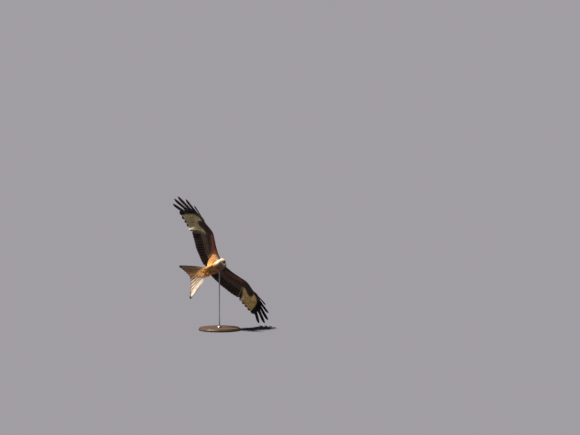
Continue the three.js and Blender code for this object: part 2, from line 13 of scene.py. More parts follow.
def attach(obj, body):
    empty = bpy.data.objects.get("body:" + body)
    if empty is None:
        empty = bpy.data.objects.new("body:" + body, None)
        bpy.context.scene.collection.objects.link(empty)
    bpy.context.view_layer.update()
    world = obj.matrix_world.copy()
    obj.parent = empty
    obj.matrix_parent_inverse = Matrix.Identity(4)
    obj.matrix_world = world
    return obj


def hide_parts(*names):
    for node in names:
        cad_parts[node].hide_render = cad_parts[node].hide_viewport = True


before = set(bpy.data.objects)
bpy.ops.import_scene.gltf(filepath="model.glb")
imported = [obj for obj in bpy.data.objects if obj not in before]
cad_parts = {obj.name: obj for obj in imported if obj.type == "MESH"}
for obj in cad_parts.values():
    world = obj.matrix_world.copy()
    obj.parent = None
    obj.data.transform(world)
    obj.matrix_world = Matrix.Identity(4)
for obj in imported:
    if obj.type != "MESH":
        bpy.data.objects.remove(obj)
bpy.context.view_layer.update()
bpy.ops.object.select_all(action="DESELECT")
bpy.context.scene.view_settings.view_transform = "Standard"


# Attitude on the stand
attitude = {"headingDeg": -41.5, "climbDeg": 23.5, "bankDeg": 65, "height": 600, "rodEntry": (0, 2, -20)}
turned = (
    Matrix.Rotation(math.radians(attitude["headingDeg"]), 4, "Z")
    @ Matrix.Rotation(math.radians(-attitude["climbDeg"]), 4, "Y")
    @ Matrix.Rotation(math.radians(-attitude["bankDeg"]), 4, "X")
)
rodTop = turned @ Vector(attitude["rodEntry"])
birdToStand = Matrix.Scale(0.001, 4) @ Matrix.Translation((-rodTop.x, -rodTop.y, attitude["height"])) @ turned


# Small sums on arrays
def mix(low, high, share):
    return low + (high - low) * share


def smooth(x, low, high):
    t = np.clip((np.asarray(x, float) - low) / (high - low), 0, 1)
    return t * t * (3 - 2 * t)


def unit(v):
    return v / np.maximum(np.linalg.norm(v, axis=-1, keepdims=True), 1e-9)


def moved(matrix, points):
    m = np.array(matrix)
    return np.asarray(points, float) @ m[:3, :3].T + m[:3, 3]


def along(line, b):
    return np.interp(b, [p[1] for p in line], [p[0] for p in line])


# Wing plan, seen square to the wing: a is forward of the shoulder line, b outward from the spine
wing = {
    "wristA": 65,
    "wristB": 270,
    "shoulderB": 45,
    "shoulderZ": 20,
    "chord": 245,
    "camber": 13,
    "leadingEdge": [
        (20, 10), (17, 50), (22, 110), (38, 172), (57, 230),
        (66, 262), (65, 292), (50, 337), (34, 385), (27, 410),
    ],
    "trailingEdge": [
        (-182, 40), (-198, 66), (-201, 110), (-197, 150),
        (-192, 220), (-180, 265), (-165, 346), (-155, 388),
    ],
    "boneEdge": [
        (-86, 10), (-82, 50), (-68, 110), (-56, 170), (-42, 230),
        (-34, 270), (-26, 310), (-6, 350), (12, 410),
    ],
    "boneThickness": [
        (17, 10), (15, 60), (12.5, 110), (10.5, 170), (9.5, 230),
        (9, 270), (7, 300), (5.2, 340), (3, 410),
    ],
}
wingPose = {
    "right": {"side": -1, "armDeg": 14.8, "handDeg": 14.6, "tipLift": 18, "handSweepDeg": 1.7},
    "left": {"side": 1, "armDeg": 16.6, "handDeg": 16.8, "tipLift": 24, "handSweepDeg": -3.8},
}


def wingPoint(a, b, n, pose):
    a, b, n = np.broadcast_arrays(np.asarray(a, float), np.asarray(b, float), np.asarray(n, float))
    side = pose["side"]

    def place(pa, pb):
        armRise = math.tan(math.radians(pose["armDeg"]))
        handRise = math.tan(math.radians(pose["handDeg"]))
        past = pb - wing["wristB"]
        rise = armRise * (np.minimum(pb, wing["wristB"]) - wing["shoulderB"]) + handRise * np.maximum(past, 0)
        lift = pose["tipLift"] * np.maximum((past - 200) / 250, 0) ** 2
        back = np.clip((along(wing["leadingEdge"], pb) - pa) / wing["chord"], 0, 1)
        arch = wing["camber"] * 4 * back * (1 - back) * (1 - smooth(pb, 400, 560))
        turn = math.radians(pose["handSweepDeg"]) * smooth(pb, 235, 315)
        da = pa - wing["wristA"]
        x = wing["wristA"] + da * np.cos(turn) - past * np.sin(turn)
        y = side * (wing["wristB"] + da * np.sin(turn) + past * np.cos(turn))
        return np.stack([x, y, wing["shoulderZ"] + rise + lift + arch], -1)

    at = place(a, b)
    normal = unit(np.cross(place(a + 1, b) - at, place(a, b + 1) - at)) * side
    return at + normal * n[..., None]


def wingPlan(points, pose):
    """Plan position of points near a wing"""
    side = pose["side"]
    b = np.abs(points[:, 1])
    turn = math.radians(pose["handSweepDeg"]) * smooth(b, 235, 315)
    dx = points[:, 0] - wing["wristA"]
    dy = b - wing["wristB"]
    return (
        wing["wristA"] + dx * np.cos(turn) + dy * np.sin(turn),
        wing["wristB"] - dx * np.sin(turn) + dy * np.cos(turn),
    )


# Tail: a fan from its root, rolled and arched towards the tips
tail = {
    "feathers": 6, "rootX": -158, "rootZ": 2, "centreX": -412,
    "right": {"centreX": -412, "fork": 56, "spread": 139}, "left": {"centreX": -420, "fork": 60, "spread": 152},
    "centreZ": 22, "roll": 54, "arch": 35, "halfWidth": 145,
}


def tailPoint(x, y, n):
    x, y, n = np.broadcast_arrays(np.asarray(x, float), np.asarray(y, float), np.asarray(n, float))
    share = (tail["rootX"] - x) / (tail["rootX"] - tail["centreX"])
    wide = y / tail["halfWidth"]
    z = mix(tail["rootZ"], tail["centreZ"], share) - tail["roll"] * wide - tail["arch"] * wide**2
    slope = (-tail["roll"] - 2 * tail["arch"] * wide) / tail["halfWidth"]
    normal = unit(np.stack([np.zeros_like(slope), -slope, np.ones_like(slope)], -1))
    return np.stack([x, y, z], -1) + normal * n[..., None]


# Head frame: forward to the bill, left and up
head = {
    "centre": (77, -15, -37), "yawDeg": 53, "downDeg": 29, "tiltDeg": 42,
    "eyeAt": (13.5, 12.8, 4.8), "eyeRadius": 7.6, "eyeForwardDeg": 28, "billBase": 26,
}
headToBird = (
    Matrix.Translation(head["centre"])
    @ Matrix.Rotation(math.radians(head["yawDeg"]), 4, "Z")
    @ Matrix.Rotation(math.radians(head["downDeg"]), 4, "Y")
    @ Matrix.Rotation(math.radians(head["tiltDeg"]), 4, "X")
)
birdToHead = headToBird.inverted()
neckFrom = np.array([46, -5, -33])
neckAxis = unit(np.array([0.86, -0.2, -0.47]))


def eyeToBird(side):
    x, y, z = head["eyeAt"]
    return (
        headToBird
        @ Matrix.Translation((x, side * y, z))
        @ Matrix.Rotation(side * math.radians(90 - head["eyeForwardDeg"]), 4, "Z")
        @ Matrix.Rotation(math.radians(90), 4, "Y")
    )


# Markings: the ground colour of each place, and how strong its shaft streak, pale fringe and bars are
colours = {
    "head": (0.80, 0.69, 0.53),
    # painted shade: the head's underside, darkened from its pale grey-white as if in shadow
    "throat": (0.23, 0.172, 0.098),
    # dark round the eye: the darker feathers there, deepened with painted shadow of the brow
    "loresAndBrowShade": (0.036, 0.029, 0.024),
    "breast": (0.24, 0.105, 0.040),
    "belly": (0.42, 0.19, 0.058),
    "vent": (0.94, 0.44, 0.100),
    "axilla": (0.66, 0.31, 0.090),
    # painted sunlight: a brighter golden copy of the belly colour, for the right flank where it faces the sun
    "flank": (0.92, 0.46, 0.095),
    # painted shade: dark copy used on the left armpit and between the legs under the tail
    "axillaShade": (0.045, 0.018, 0.011),
    "back": (0.060, 0.036, 0.024),
    "rump": (0.36, 0.135, 0.045),
    "upperwing": (0.048, 0.030, 0.021),
    "upperBand": (0.27, 0.175, 0.095),
    "underRufous": (0.32, 0.085, 0.028),
    "underOrange": (0.52, 0.23, 0.070),
    "paleLine": (0.20, 0.155, 0.105),
    "underDark": (0.017, 0.010, 0.009),
    "underGrey": (0.046, 0.027, 0.021),
    "window": (0.50, 0.405, 0.21),
    "flightTop": (0.030, 0.020, 0.015),
    "flightUnder": (0.022, 0.0125, 0.0105),
    "finger": (0.0070, 0.0055, 0.0060),
    # pale feather bases at the moult gap, painted near white as a glint: partly painted highlight
    "paleBaseAndGlint": (0.98, 0.92, 0.84),
    "tailTop": (0.42, 0.15, 0.045),
    "tailUnder": (0.98, 0.86, 0.70),
    "tailWarm": (0.94, 0.51, 0.20),
    # painted shade: a darker olive copy of the tail's underside, used on its right half
    "tailUnderPaintedShade": (0.245, 0.165, 0.080),
    # rust of the tail, on the shafts below and on lines along the inner webs, where it is partly painted shadow
    "tailRustAndShade": (0.26, 0.090, 0.030),
    "tailDark": (0.030, 0.018, 0.014),
    "shaft": (0.16, 0.11, 0.07),
}
colours = {name: np.array(value) for name, value in colours.items()}


def tint(low, high, share):
    return low + (high - low) * np.asarray(share)[..., None]


def inside(outline, a, b, soft):
    """1 inside a plan outline of (a, b) corners and 0 outside, with a soft edge"""
    corners = np.array(outline, float)
    after = np.roll(corners, -1, axis=0)
    nearest = np.full(np.shape(a), 1e9)
    crossed = np.zeros(np.shape(a), bool)
    for (a0, b0), (a1, b1) in zip(corners, after):
        run = np.array([a1 - a0, b1 - b0])
        t = np.clip(((a - a0) * run[0] + (b - b0) * run[1]) / (run @ run), 0, 1)
        nearest = np.minimum(nearest, np.hypot(a - a0 - t * run[0], b - b0 - t * run[1]))
        if b0 != b1:
            over = (b0 > b) != (b1 > b)
            crossed ^= over & (a < a0 + (b - b0) * run[0] / (b1 - b0))
    return smooth(np.where(crossed, nearest, -nearest), -soft, soft)


underWindow = [
    (-175, 536), (-106, 522), (-50, 498), (-8, 456), (16, 400), (10, 398), (-10, 416), (-30, 425),
    (-50, 410), (-42, 370), (-14, 312), (-22, 302), (-60, 330), (-99, 359), (-150, 386), (-190, 420),
]
carpalPatch = [(-42, 426), (-57, 402), (-40, 366), (-12, 330), (40, 300), (60, 320), (34, 380), (-2, 418)]
rufousBand = [(60, 262), (26, 263), (4, 205), (-28, 149), (-56, 118), (-90, 60), (10, 40), (18, 110), (36, 172)]
orangeRoot = [(14, 20), (18, 78), (22, 122), (-6, 112), (-60, 108), (-116, 104), (-140, 70), (-140, 20)]
moultSpot = [(-112, 384), (-200, 396), (-200, 416), (-116, 397)]
paleLine = [(-150, 358), (-66, 324), (-14, 292), (-20, 284), (-70, 313), (-154, 346)]
upperBand = [(44, 262), (18, 285), (-30, 230), (-70, 150), (-96, 60), (-40, 40), (-20, 120), (6, 200)]


def underWing(a, b, coverts, shaded=0.0):
    # ground colour of everything on the underside of a wing, and how far it is in the pale window
    forward = along(wing["leadingEdge"], b) - a
    below = tint(colours["underGrey"], colours["underDark"], smooth(forward, 128, 96))
    below = tint(below, colours["flightUnder"], smooth(forward, 138, 158))
    window = inside(underWindow, a, b, 5)
    below = tint(below, colours["window"], window)
    below = tint(below, colours["paleLine"], inside(paleLine, a, b, 4))
    # near-white patch at the moult gap: pale feather bases, partly a painted highlight
    spot = inside(moultSpot, a, b, 3)
    below = tint(below, colours["paleBaseAndGlint"], spot)
    if coverts:
        below = tint(below, colours["underRufous"], inside(rufousBand, a, b, 12))
        below = tint(below, colours["underDark"], 0.7 * smooth(forward, 7, 2) * smooth(b, 60, 120))
        # on the left wing shaded is 1, and the orange root and the rufous band are painted in shade
        root = tint(colours["underOrange"], colours["axillaShade"], shaded)
        below = tint(below, root, inside(orangeRoot, a, b, 14))
        below = below * (1 - 0.5 * shaded * inside(rufousBand, a, b, 20))[..., None]
    patch = inside(carpalPatch, a, b, 5)
    return tint(below, colours["underDark"], patch), np.maximum(window, spot) * (1 - patch)


def leftPaintedShadeAndGlow(b, window, side):
    # under the left wing, painted shade darkens the root, and painted light makes the window brighter and yellower, as
    # if lit through
    root = 1 - 0.6 * smooth(b, 210, 130)[..., None]
    glow = tint(np.ones(3), np.array([1.6, 1.35, 0.9]), window)
    return root * glow if side > 0 else 1.0


def wingMarkings(a, b, under, side):
    # coverts and flesh of a wing: under is 1 below and 0 above
    # the left wing's underside is painted in shade near the root
    below, window = underWing(a, b, True, (side > 0) * 1.0)
    above = tint(colours["upperwing"], colours["upperBand"], inside(upperBand, a, b, 14))
    ground = tint(above, below * leftPaintedShadeAndGlow(b, window, side), under)
    rufous = inside(rufousBand, a, b, 20)
    streak = mix(0.55, 0.75, rufous * under) * (1 - 0.8 * window * under)
    fringe = mix(0.55, 0.5, under) * (1 - 0.7 * window * under)
    return ground, np.stack([streak, fringe, 0 * a], -1)


def axillaShare(points, normals):
    # how far points are on the fillet under the wing root
    x, y, z = points.T
    low = smooth(normals[:, 2], 0.25, -0.15)
    return smooth(np.abs(y), 40, 54) * smooth(x, -160, -136) * smooth(x, 34, 14) * low * smooth(z, -34, -20)


def bodyMarkings(points, normals):
    # head, neck, body and legs, with points in the bird's frame
    x, y, z = points.T
    front = (points - neckFrom) @ neckAxis
    local = moved(birdToHead, points)
    upward = smooth(z, -12, 12) * smooth(normals[:, 2], -0.15, 0.25)
    rear = smooth(x, -96, -150)
    belly = tint(colours["breast"], colours["belly"], smooth(x, 10, -50))
    belly = tint(belly, colours["vent"], smooth(x, -104, -150))
    above = tint(colours["back"], colours["rump"], rear)
    # the right flank, where its surface faces the sun, is painted brighter: painted sunlight
    belly = tint(belly, colours["flank"], smooth(-normals[:, 1], 0.3, 0.8) * smooth(x, 0, -30) * (y < 0))
    trunk = tint(belly, above, upward)
    armpit = axillaShare(points, normals)
    bright = tint(colours["axilla"], colours["underRufous"], 0.85 * smooth(np.abs(y), 58, 98))
    trunk = tint(trunk, bright, armpit * (y < 0))
    # the left armpit is painted in shade
    trunk = tint(trunk, colours["axillaShade"], armpit * (y > 0))
    # painted light: on the bird's right side, which faces the sun, the pale head colour reaches further back down the
    # neck and the head's underside is left pale
    sunlitRightNeck = smooth(-y, 8, 32)
    sunlitNapeSide = smooth(local[:, 0], -14, -30) * smooth(-y, 16, 36)
    # the underside of the head takes the throat colour: painted shade
    face = tint(colours["head"], colours["throat"], smooth(local[:, 2], -14, -25) * (1 - sunlitNapeSide))
    # dark patch round the eye: darker feathers, deepened with painted shadow of the brow
    eyeX, eyeY, eyeZ = head["eyeAt"]
    spot = np.hypot(local[:, 0] - eyeX - 2, local[:, 2] - eyeZ)
    beside = smooth(np.abs(local[:, 1]), 6, 11)
    face = tint(face, colours["loresAndBrowShade"], 0.92 * beside * smooth(spot, 15.0, 8.2) * smooth(local[:, 0], -4, 4))
    # painted shade: on surfaces that face down, the dark breast colour runs up to the skull
    shadedUnderside = smooth(-normals[:, 2], 0.15, 0.7)
    ahead = smooth(front - mix(-50, mix(-13, -50, sunlitRightNeck), shadedUnderside), 0, mix(32, 18, shadedUnderside))
    ground = tint(trunk, face, ahead)
    streak = mix(mix(mix(0.85, 0.6, smooth(x, 10, -60)), 0.75, upward), mix(0.55, 0.25, smooth(local[:, 0], -10, 14)), ahead)
    fringe = mix(0.25, 0.75, upward * (1 - rear)) * (1 - ahead)
    return ground, np.stack([streak, fringe, 0 * x], -1)


def flightMarkings(a, b, t, s, under, side):
    """Primaries and secondaries, with t down the vane; s, across it with outward positive, is not used"""
    primary = smooth(b + 0.55 * (a + 20), 318, 330)
    below, window = underWing(a, b, False)
    spot = inside(moultSpot, a, b, 3)
    below = tint(below, colours["flightUnder"], window * (1 - spot) * smooth(t, 0.9, 0.95))
    fingers = smooth(b - 0.42 * a, 500, 530)
    below = tint(below, colours["finger"], fingers * (1 - window))
    above = tint(colours["flightTop"], colours["finger"], 0.8 * primary)
    ground = tint(above, below * leftPaintedShadeAndGlow(b, window * (1 - spot), side), under)
    crossed = mix(0.65, 0.42, window) * (1 - fingers * (1 - window)) * (1 - spot)
    bars = mix(mix(0.55, 0.3, primary), crossed, under)
    fringe = mix(0.4, 0.22, under) * (1 - fingers)
    return ground, np.stack([0 * a + 0.1, fringe, bars], -1)


def tailMarkings(x, y, t, s, order, side, under):
    # tail feathers: s is towards the outer edge, order counts from the middle pair
    outermost = (order == tail["feathers"] - 1) * 1.0
    if side > 0:
        warm = smooth(order, 1.5, 0.5) * smooth(t, 1.0, 0.5)
        below = tint(colours["tailUnder"], colours["tailWarm"], warm)
        # dark rust line along each inner web's edge: partly the rust marking, partly painted shadow where the next
        # feather overlaps
        below = tint(below, colours["tailRustAndShade"], 0.92 * smooth(s, -0.54, -0.72) * (1 - 0.6 * outermost))
    else:
        # the right half is painted in shade, save its middle feathers, which keep the warm rufous
        below = tint(colours["tailUnderPaintedShade"], colours["tailWarm"], smooth(order, 2.5, 0.5))
        # the same rust line on the right half, partly painted shadow
        below = tint(below, colours["tailRustAndShade"], 0.7 * smooth(s, -0.5, -0.7))
    corner = smooth(t, 0.88, 0.96) * mix(0.3, 1.0, smooth(np.abs(y), 74, 124))
    edge = outermost * smooth(s, 0.15, 0.45) * (smooth(t, 0.35, 0.6) if side > 0 else 1)
    above = colours["tailTop"] + np.zeros_like(below)
    ground = tint(above, below, under)
    ground = tint(ground, colours["tailDark"], np.clip(corner + 0.9 * edge, 0, 1))
    bars = mix(0.45, 0.12, under) * (1 - corner)
    return ground, np.stack([0 * x + 0.15, 0.15 * (1 - under), bars], -1)


# Feather mesh: each vane is a thin closed solid of rings, with columns across it from inner to outer edge
def ringOf(columns):
    """Share across, side and column of each point of a ring that runs over the top and back below"""
    across = np.linspace(-1, 1, columns)
    order = list(range(columns)) + list(range(columns - 2, 0, -1))
    side = np.array([0] + [1] * (columns - 2) + [0] + [-1] * (columns - 2))
    return across[order], side, np.array(order)


def newCoat():
    return {name: [] for name in ("points", "ground", "marks", "vane", "patch", "quads", "tris")} | {"count": 0}


def addVanes(coat, points, ground, marks, columns, t, patches, patchSize=(0.003, 0.003), belowStep=0.0):
    """Joins a batch of vanes to a coat. points is (vane, station, ring, xyz)."""
    number, stations, ring, _ = points.shape
    reach = np.linalg.norm(points[:, -1].mean(1) - points[:, 0].mean(1), axis=1)
    across, side, column = ringOf(columns)
    spoke = np.arange(ring)
    station = np.arange(stations - 1)
    j, i = np.meshgrid(spoke, station)
    j, i = j.ravel(), i.ravel()
    after = (j + 1) % ring
    quads = np.stack([i * ring + j, i * ring + after, (i + 1) * ring + after, (i + 1) * ring + j], 1)
    middle = np.arange(1, columns - 2)
    cap = np.stack([middle, ring - middle, ring - middle - 1, middle + 1], 1)
    ends = np.array([[0, ring - 1, 1], [columns - 2, ring - columns + 2, columns - 1]])
    last = (stations - 1) * ring
    quads = np.concatenate([quads, cap, cap[:, ::-1] + last])
    tris = np.concatenate([ends, ends[:, ::-1] + last])
    size = stations * ring
    first = points[0].reshape(-1, 3)
    centre = first.mean(0)
    p, q, r, w = (first[quads[:, k]] - centre for k in range(4))
    volume = np.einsum("ij,ij->", np.cross(p, q), r) + np.einsum("ij,ij->", np.cross(p, r), w)
    if volume < 0:
        quads, tris = quads[:, ::-1], tris[:, ::-1]
    steps = coat["count"] + size * np.arange(number)[:, None, None]
    coat["quads"].append((quads[None] + steps).reshape(-1, 4))
    coat["tris"].append((tris[None] + steps).reshape(-1, 3))
    coat["points"].append(points.reshape(-1, 3))
    coat["ground"].append(np.broadcast_to(ground, points.shape).reshape(-1, 3))
    lengths = np.broadcast_to(0.01 * reach[:, None, None, None], points.shape[:3] + (1,))
    coat["marks"].append(np.concatenate([np.broadcast_to(marks, points.shape), lengths], -1).reshape(-1, 4))
    u = np.broadcast_to((across * 0.5 + 0.5)[None, None, :], points.shape[:3])
    v = np.broadcast_to(np.asarray(t, float), points.shape[:3]) if np.ndim(t) == 3 else np.broadcast_to(
        np.asarray(t, float)[None, :, None], points.shape[:3])
    coat["vane"].append(np.stack([u, v], -1).reshape(-1, 2))
    local = np.stack([u * patchSize[0] + (side < 0)[None, None, :] * belowStep, v * patchSize[1]], -1)
    coat["patch"].append((patches[:, None, None, :] + local).reshape(-1, 2))
    coat["count"] += number * size


def ride(piece, slot, *nodes):
    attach(piece, "root")
    if nodes:
        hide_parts(*nodes)
    return piece


def finishCoat(coat, name, material, slot, *nodes):
    points = moved(birdToStand, np.concatenate(coat["points"]))
    quads = np.concatenate(coat["quads"])
    tris = np.concatenate(coat["tris"])
    loops = np.concatenate([quads.ravel(), tris.ravel()]).astype(np.int32)
    totals = np.concatenate([np.full(len(quads), 4), np.full(len(tris), 3)])
    starts = np.concatenate([[0], np.cumsum(totals)[:-1]]).astype(np.int32)
    mesh = bpy.data.meshes.new(name)
    mesh.vertices.add(len(points))
    mesh.vertices.foreach_set("co", points.astype(np.float32).ravel())
    mesh.loops.add(len(loops))
    mesh.loops.foreach_set("vertex_index", loops)
    mesh.polygons.add(len(totals))
    mesh.polygons.foreach_set("loop_start", starts)
    mesh.update(calc_edges=True)
    for layer in ("vane", "patch"):
        values = np.concatenate(coat[layer])[loops].astype(np.float32)
        uvMap = mesh.uv_layers.new(name="OFBake" if layer == "patch" else layer)
        uvMap.data.foreach_set("uv", values.ravel())
    for layer in ("ground", "marks"):
        setColour(mesh, layer, np.concatenate(coat[layer]))
    mesh.validate()
    piece = bpy.data.objects.new(name, mesh)
    bpy.context.scene.collection.objects.link(piece)
    smoothByAngle(piece, 48)
    piece.data.materials.append(material)
    triangles = len(quads) * 2 + len(tris)
    print(f"{name}: {triangles} triangles")
    return ride(piece, slot, *nodes)


def setColour(mesh, layer, values):
    attribute = mesh.color_attributes.new(name=layer, type="FLOAT_COLOR", domain="POINT")
    filled = np.ones((len(values), 4))
    filled[:, : values.shape[1]] = values
    attribute.data.foreach_set("color", filled.astype(np.float32).ravel())


def smoothByAngle(piece, degrees):
    bpy.ops.object.select_all(action="DESELECT")
    piece.select_set(True)
    bpy.context.view_layer.objects.active = piece
    bpy.ops.object.shade_smooth_by_angle(angle=math.radians(degrees))
    piece.select_set(False)


# Materials
def newMaterial(name, roughness, **sockets):
    material = bpy.data.materials.new(name)
    material.use_nodes = True
    shader = material.node_tree.nodes["Principled BSDF"]
    shader.inputs["Roughness"].default_value = roughness
    for socket, value in sockets.items():
        shader.inputs[socket].default_value = value
    return material, material.node_tree, shader


def node(tree, kind, **values):
    made = tree.nodes.new(kind)
    for name, value in values.items():
        setattr(made, name, value)
    return made


def mathNode(tree, operation, *inputs, clamp=False):
    made = node(tree, "ShaderNodeMath", operation=operation, use_clamp=clamp)
    for socket, value in zip(made.inputs, inputs):
        if isinstance(value, (int, float)):
            socket.default_value = value
        else:
            tree.links.new(value, socket)
    return made.outputs[0]


def mixNode(tree, blend, factor, low, high):
    made = node(tree, "ShaderNodeMix", data_type="RGBA", blend_type=blend)
    for socket, value in ((made.inputs[0], factor), (made.inputs[6], low), (made.inputs[7], high)):
        if isinstance(value, (int, float)):
            socket.default_value = value
        elif isinstance(value, (tuple, list, np.ndarray)):
            socket.default_value = (*value, 1)
        else:
            tree.links.new(value, socket)
    return made.outputs[2]


def rangeNode(tree, value, low, high, toLow=0.0, toHigh=1.0):
    made = node(tree, "ShaderNodeMapRange", interpolation_type="SMOOTHSTEP")
    tree.links.new(value, made.inputs[0])
    for socket, number in zip(made.inputs[1:5], (low, high, toLow, toHigh)):
        socket.default_value = number
    return made.outputs[0]


def noiseNode(tree, vector, scale, detail=3.0, roughness=0.55):
    made = node(tree, "ShaderNodeTexNoise")
    tree.links.new(vector, made.inputs["Vector"])
    made.inputs["Scale"].default_value = scale
    made.inputs["Detail"].default_value = detail
    made.inputs["Roughness"].default_value = roughness
    return made.outputs["Fac"]


def attributeNode(tree, name):
    return node(tree, "ShaderNodeAttribute", attribute_type="GEOMETRY", attribute_name=name)


def featherMaterial(name, look):
    """Plumage: ground colour, shaft streak, pale fringe, cross bars and fine barbs"""
    material, tree, shader = newMaterial(
        name, look["roughness"], **{"Specular IOR Level": look["gloss"], "Sheen Weight": look["sheen"], "Sheen Roughness": 0.5}
    )
    uv = node(tree, "ShaderNodeUVMap", uv_map="vane")
    parts = node(tree, "ShaderNodeSeparateXYZ")
    tree.links.new(uv.outputs[0], parts.inputs[0])
    u, v = parts.outputs[0], parts.outputs[1]
    ground = attributeNode(tree, "ground").outputs["Color"]
    stored = attributeNode(tree, "marks")
    marks = node(tree, "ShaderNodeSeparateColor")
    tree.links.new(stored.outputs["Color"], marks.inputs[0])
    place = node(tree, "ShaderNodeTexCoord").outputs["Object"]
    offset = mathNode(tree, "ABSOLUTE", mathNode(tree, "SUBTRACT", u, 0.5))
    wander = noiseNode(tree, place, look["patchScale"])
    # cross bars, bent forward along the barbs
    bent = mathNode(tree, "SUBTRACT", v, mathNode(tree, "MULTIPLY", offset, look["barSlant"]))
    phase = mathNode(tree, "ADD", mathNode(tree, "MULTIPLY", bent, look["bars"] * 6.283), mathNode(tree, "MULTIPLY", wander, 2.5))
    bars = rangeNode(tree, mathNode(tree, "SINE", phase), 0.15, 0.75)
    bars = mathNode(tree, "MULTIPLY", bars, marks.outputs[2])
    colour = mixNode(tree, "MIX", bars, ground, look["barColour"])
    # shaft streak and fringe
    streak = rangeNode(tree, offset, look["streakWidth"], look["streakWidth"] * 0.35)
    streak = mathNode(tree, "MULTIPLY", mathNode(tree, "MULTIPLY", streak, rangeNode(tree, v, 0.98, 0.8)), marks.outputs[0])
    colour = mixNode(tree, "MIX", streak, colour, look["streakColour"])
    rim = mathNode(tree, "MAXIMUM", rangeNode(tree, offset, 0.34, 0.47), rangeNode(tree, v, 0.86, 0.97))
    colour = mixNode(tree, "MIX", mathNode(tree, "MULTIPLY", rim, marks.outputs[1]), colour, look["fringeColour"])
    # barbs and slow variation
    lean = mathNode(tree, "MULTIPLY_ADD", offset, -look["barbLean"], v)
    count = mathNode(tree, "MULTIPLY", stored.outputs["Alpha"], look["barbs"] * 6.283)
    barbs = mathNode(tree, "MULTIPLY_ADD", lean, count, mathNode(tree, "MULTIPLY", wander, 6.0))
    barbs = mathNode(tree, "SINE", barbs)
    shade = mathNode(tree, "MULTIPLY_ADD", barbs, look["barbShade"], 1.0)
    shade = mathNode(tree, "MULTIPLY", shade, rangeNode(tree, wander, 0.25, 0.75, 1 - look["variation"], 1 + look["variation"]))
    grey = node(tree, "ShaderNodeCombineColor")
    for socket in grey.inputs:
        tree.links.new(shade, socket)
    colour = mixNode(tree, "MULTIPLY", 1.0, colour, grey.outputs[0])
    tree.links.new(colour, shader.inputs["Base Color"])
    bump = node(tree, "ShaderNodeBump")
    bump.inputs["Strength"].default_value = look["bump"]
    bump.inputs["Distance"].default_value = 0.0004
    tree.links.new(barbs, bump.inputs["Height"])
    tree.links.new(bump.outputs[0], shader.inputs["Normal"])
    return material


plain = {
    "roughness": 0.62, "gloss": 0.25, "sheen": 0.08, "patchScale": 26.0, "bars": 5.0, "barSlant": 0.35, "barColour": (0.02, 0.014, 0.011),
    "streakWidth": 0.16, "streakColour": (0.028, 0.017, 0.012), "fringeColour": (0.36, 0.17, 0.075),
    "barbs": 170.0, "barbLean": 0.5, "barbShade": 0.02, "variation": 0.22, "bump": 0.06,
}
featherLooks = {
    "flight": plain | {"gloss": 0.09, "sheen": 0.0, "bars": 9.0, "barbLean": 0.12, "streakWidth": 0.05, "roughness": 0.5, "fringeColour": (0.20, 0.15, 0.11)},
    "covert": plain | {"streakWidth": 0.14, "fringeColour": (0.30, 0.145, 0.07)},
    "body": plain | {
        "gloss": 0.12, "streakWidth": 0.12, "sheen": 0.15, "variation": 0.28,
    },
    "head": plain | {
        "gloss": 0.12, "sheen": 0.2, "streakColour": (0.11, 0.085, 0.065), "streakWidth": 0.13, "variation": 0.12,
        "barbs": 190.0, "barbShade": 0.015, "bump": 0.05,
    },
    "tail": plain | {"bars": 15.0, "barbLean": 0.12, "streakWidth": 0.05, "barColour": (0.10, 0.055, 0.035), "roughness": 0.5},
}
featherMaterials = {name: featherMaterial(name + "Plumage", look) for name, look in featherLooks.items()}


def hornMaterial(name, roughness, scale, depth, coat=0.0):
    """Bare parts coloured by their ground layer: bill, lids, feet and claws"""
    material, tree, shader = newMaterial(name, roughness, **{"Coat Weight": coat, "Coat Roughness": 0.15})
    place = node(tree, "ShaderNodeTexCoord").outputs["Object"]
    noise = noiseNode(tree, place, scale)
    cells = node(tree, "ShaderNodeTexVoronoi", feature="DISTANCE_TO_EDGE")
    tree.links.new(place, cells.inputs["Vector"])
    cells.inputs["Scale"].default_value = scale * 2.2
    shade = rangeNode(tree, noise, 0.3, 0.7, 0.82, 1.12)
    grey = node(tree, "ShaderNodeCombineColor")
    for socket in grey.inputs:
        tree.links.new(shade, socket)
    colour = mixNode(tree, "MULTIPLY", 1.0, attributeNode(tree, "ground").outputs["Color"], grey.outputs[0])
    tree.links.new(colour, shader.inputs["Base Color"])
    bump = node(tree, "ShaderNodeBump")
    bump.inputs["Strength"].default_value = depth
    bump.inputs["Distance"].default_value = 0.0006
    tree.links.new(rangeNode(tree, cells.outputs["Distance"], 0.0, 0.25), bump.inputs["Height"])
    tree.links.new(bump.outputs[0], shader.inputs["Normal"])
    return material


hornPolished = hornMaterial("hornPolished", 0.36, 90.0, 0.05, coat=0.2)
footScales = hornMaterial("footScales", 0.5, 260.0, 0.7)


# Lofts: a circle is added, and its face is extruded from ring to ring
def loft(name, rings):
    count = len(rings[0])
    bpy.ops.object.select_all(action="DESELECT")
    bpy.ops.mesh.primitive_circle_add(vertices=count, fill_type="NGON")
    piece = bpy.context.object
    piece.name = name
    bpy.ops.object.mode_set(mode="EDIT")
    mesh = bmesh.from_edit_mesh(piece.data)
    spoke = mesh.verts.layers.int.new("spoke")
    for corner, point in zip(mesh.faces[:][0].verts, range(count)):
        corner[spoke] = point
        corner.co = rings[0][point]
    bmesh.update_edit_mesh(piece.data)
    for ring in rings[1:]:
        bpy.ops.mesh.extrude_region_move()
        mesh = bmesh.from_edit_mesh(piece.data)
        spoke = mesh.verts.layers.int["spoke"]
        for corner in mesh.verts:
            if corner.select:
                corner.co = ring[corner[spoke]]
        bmesh.update_edit_mesh(piece.data)
    bpy.ops.mesh.select_all(action="SELECT")
    bpy.ops.mesh.normals_make_consistent(inside=False)
    bpy.ops.object.mode_set(mode="OBJECT")
    return piece


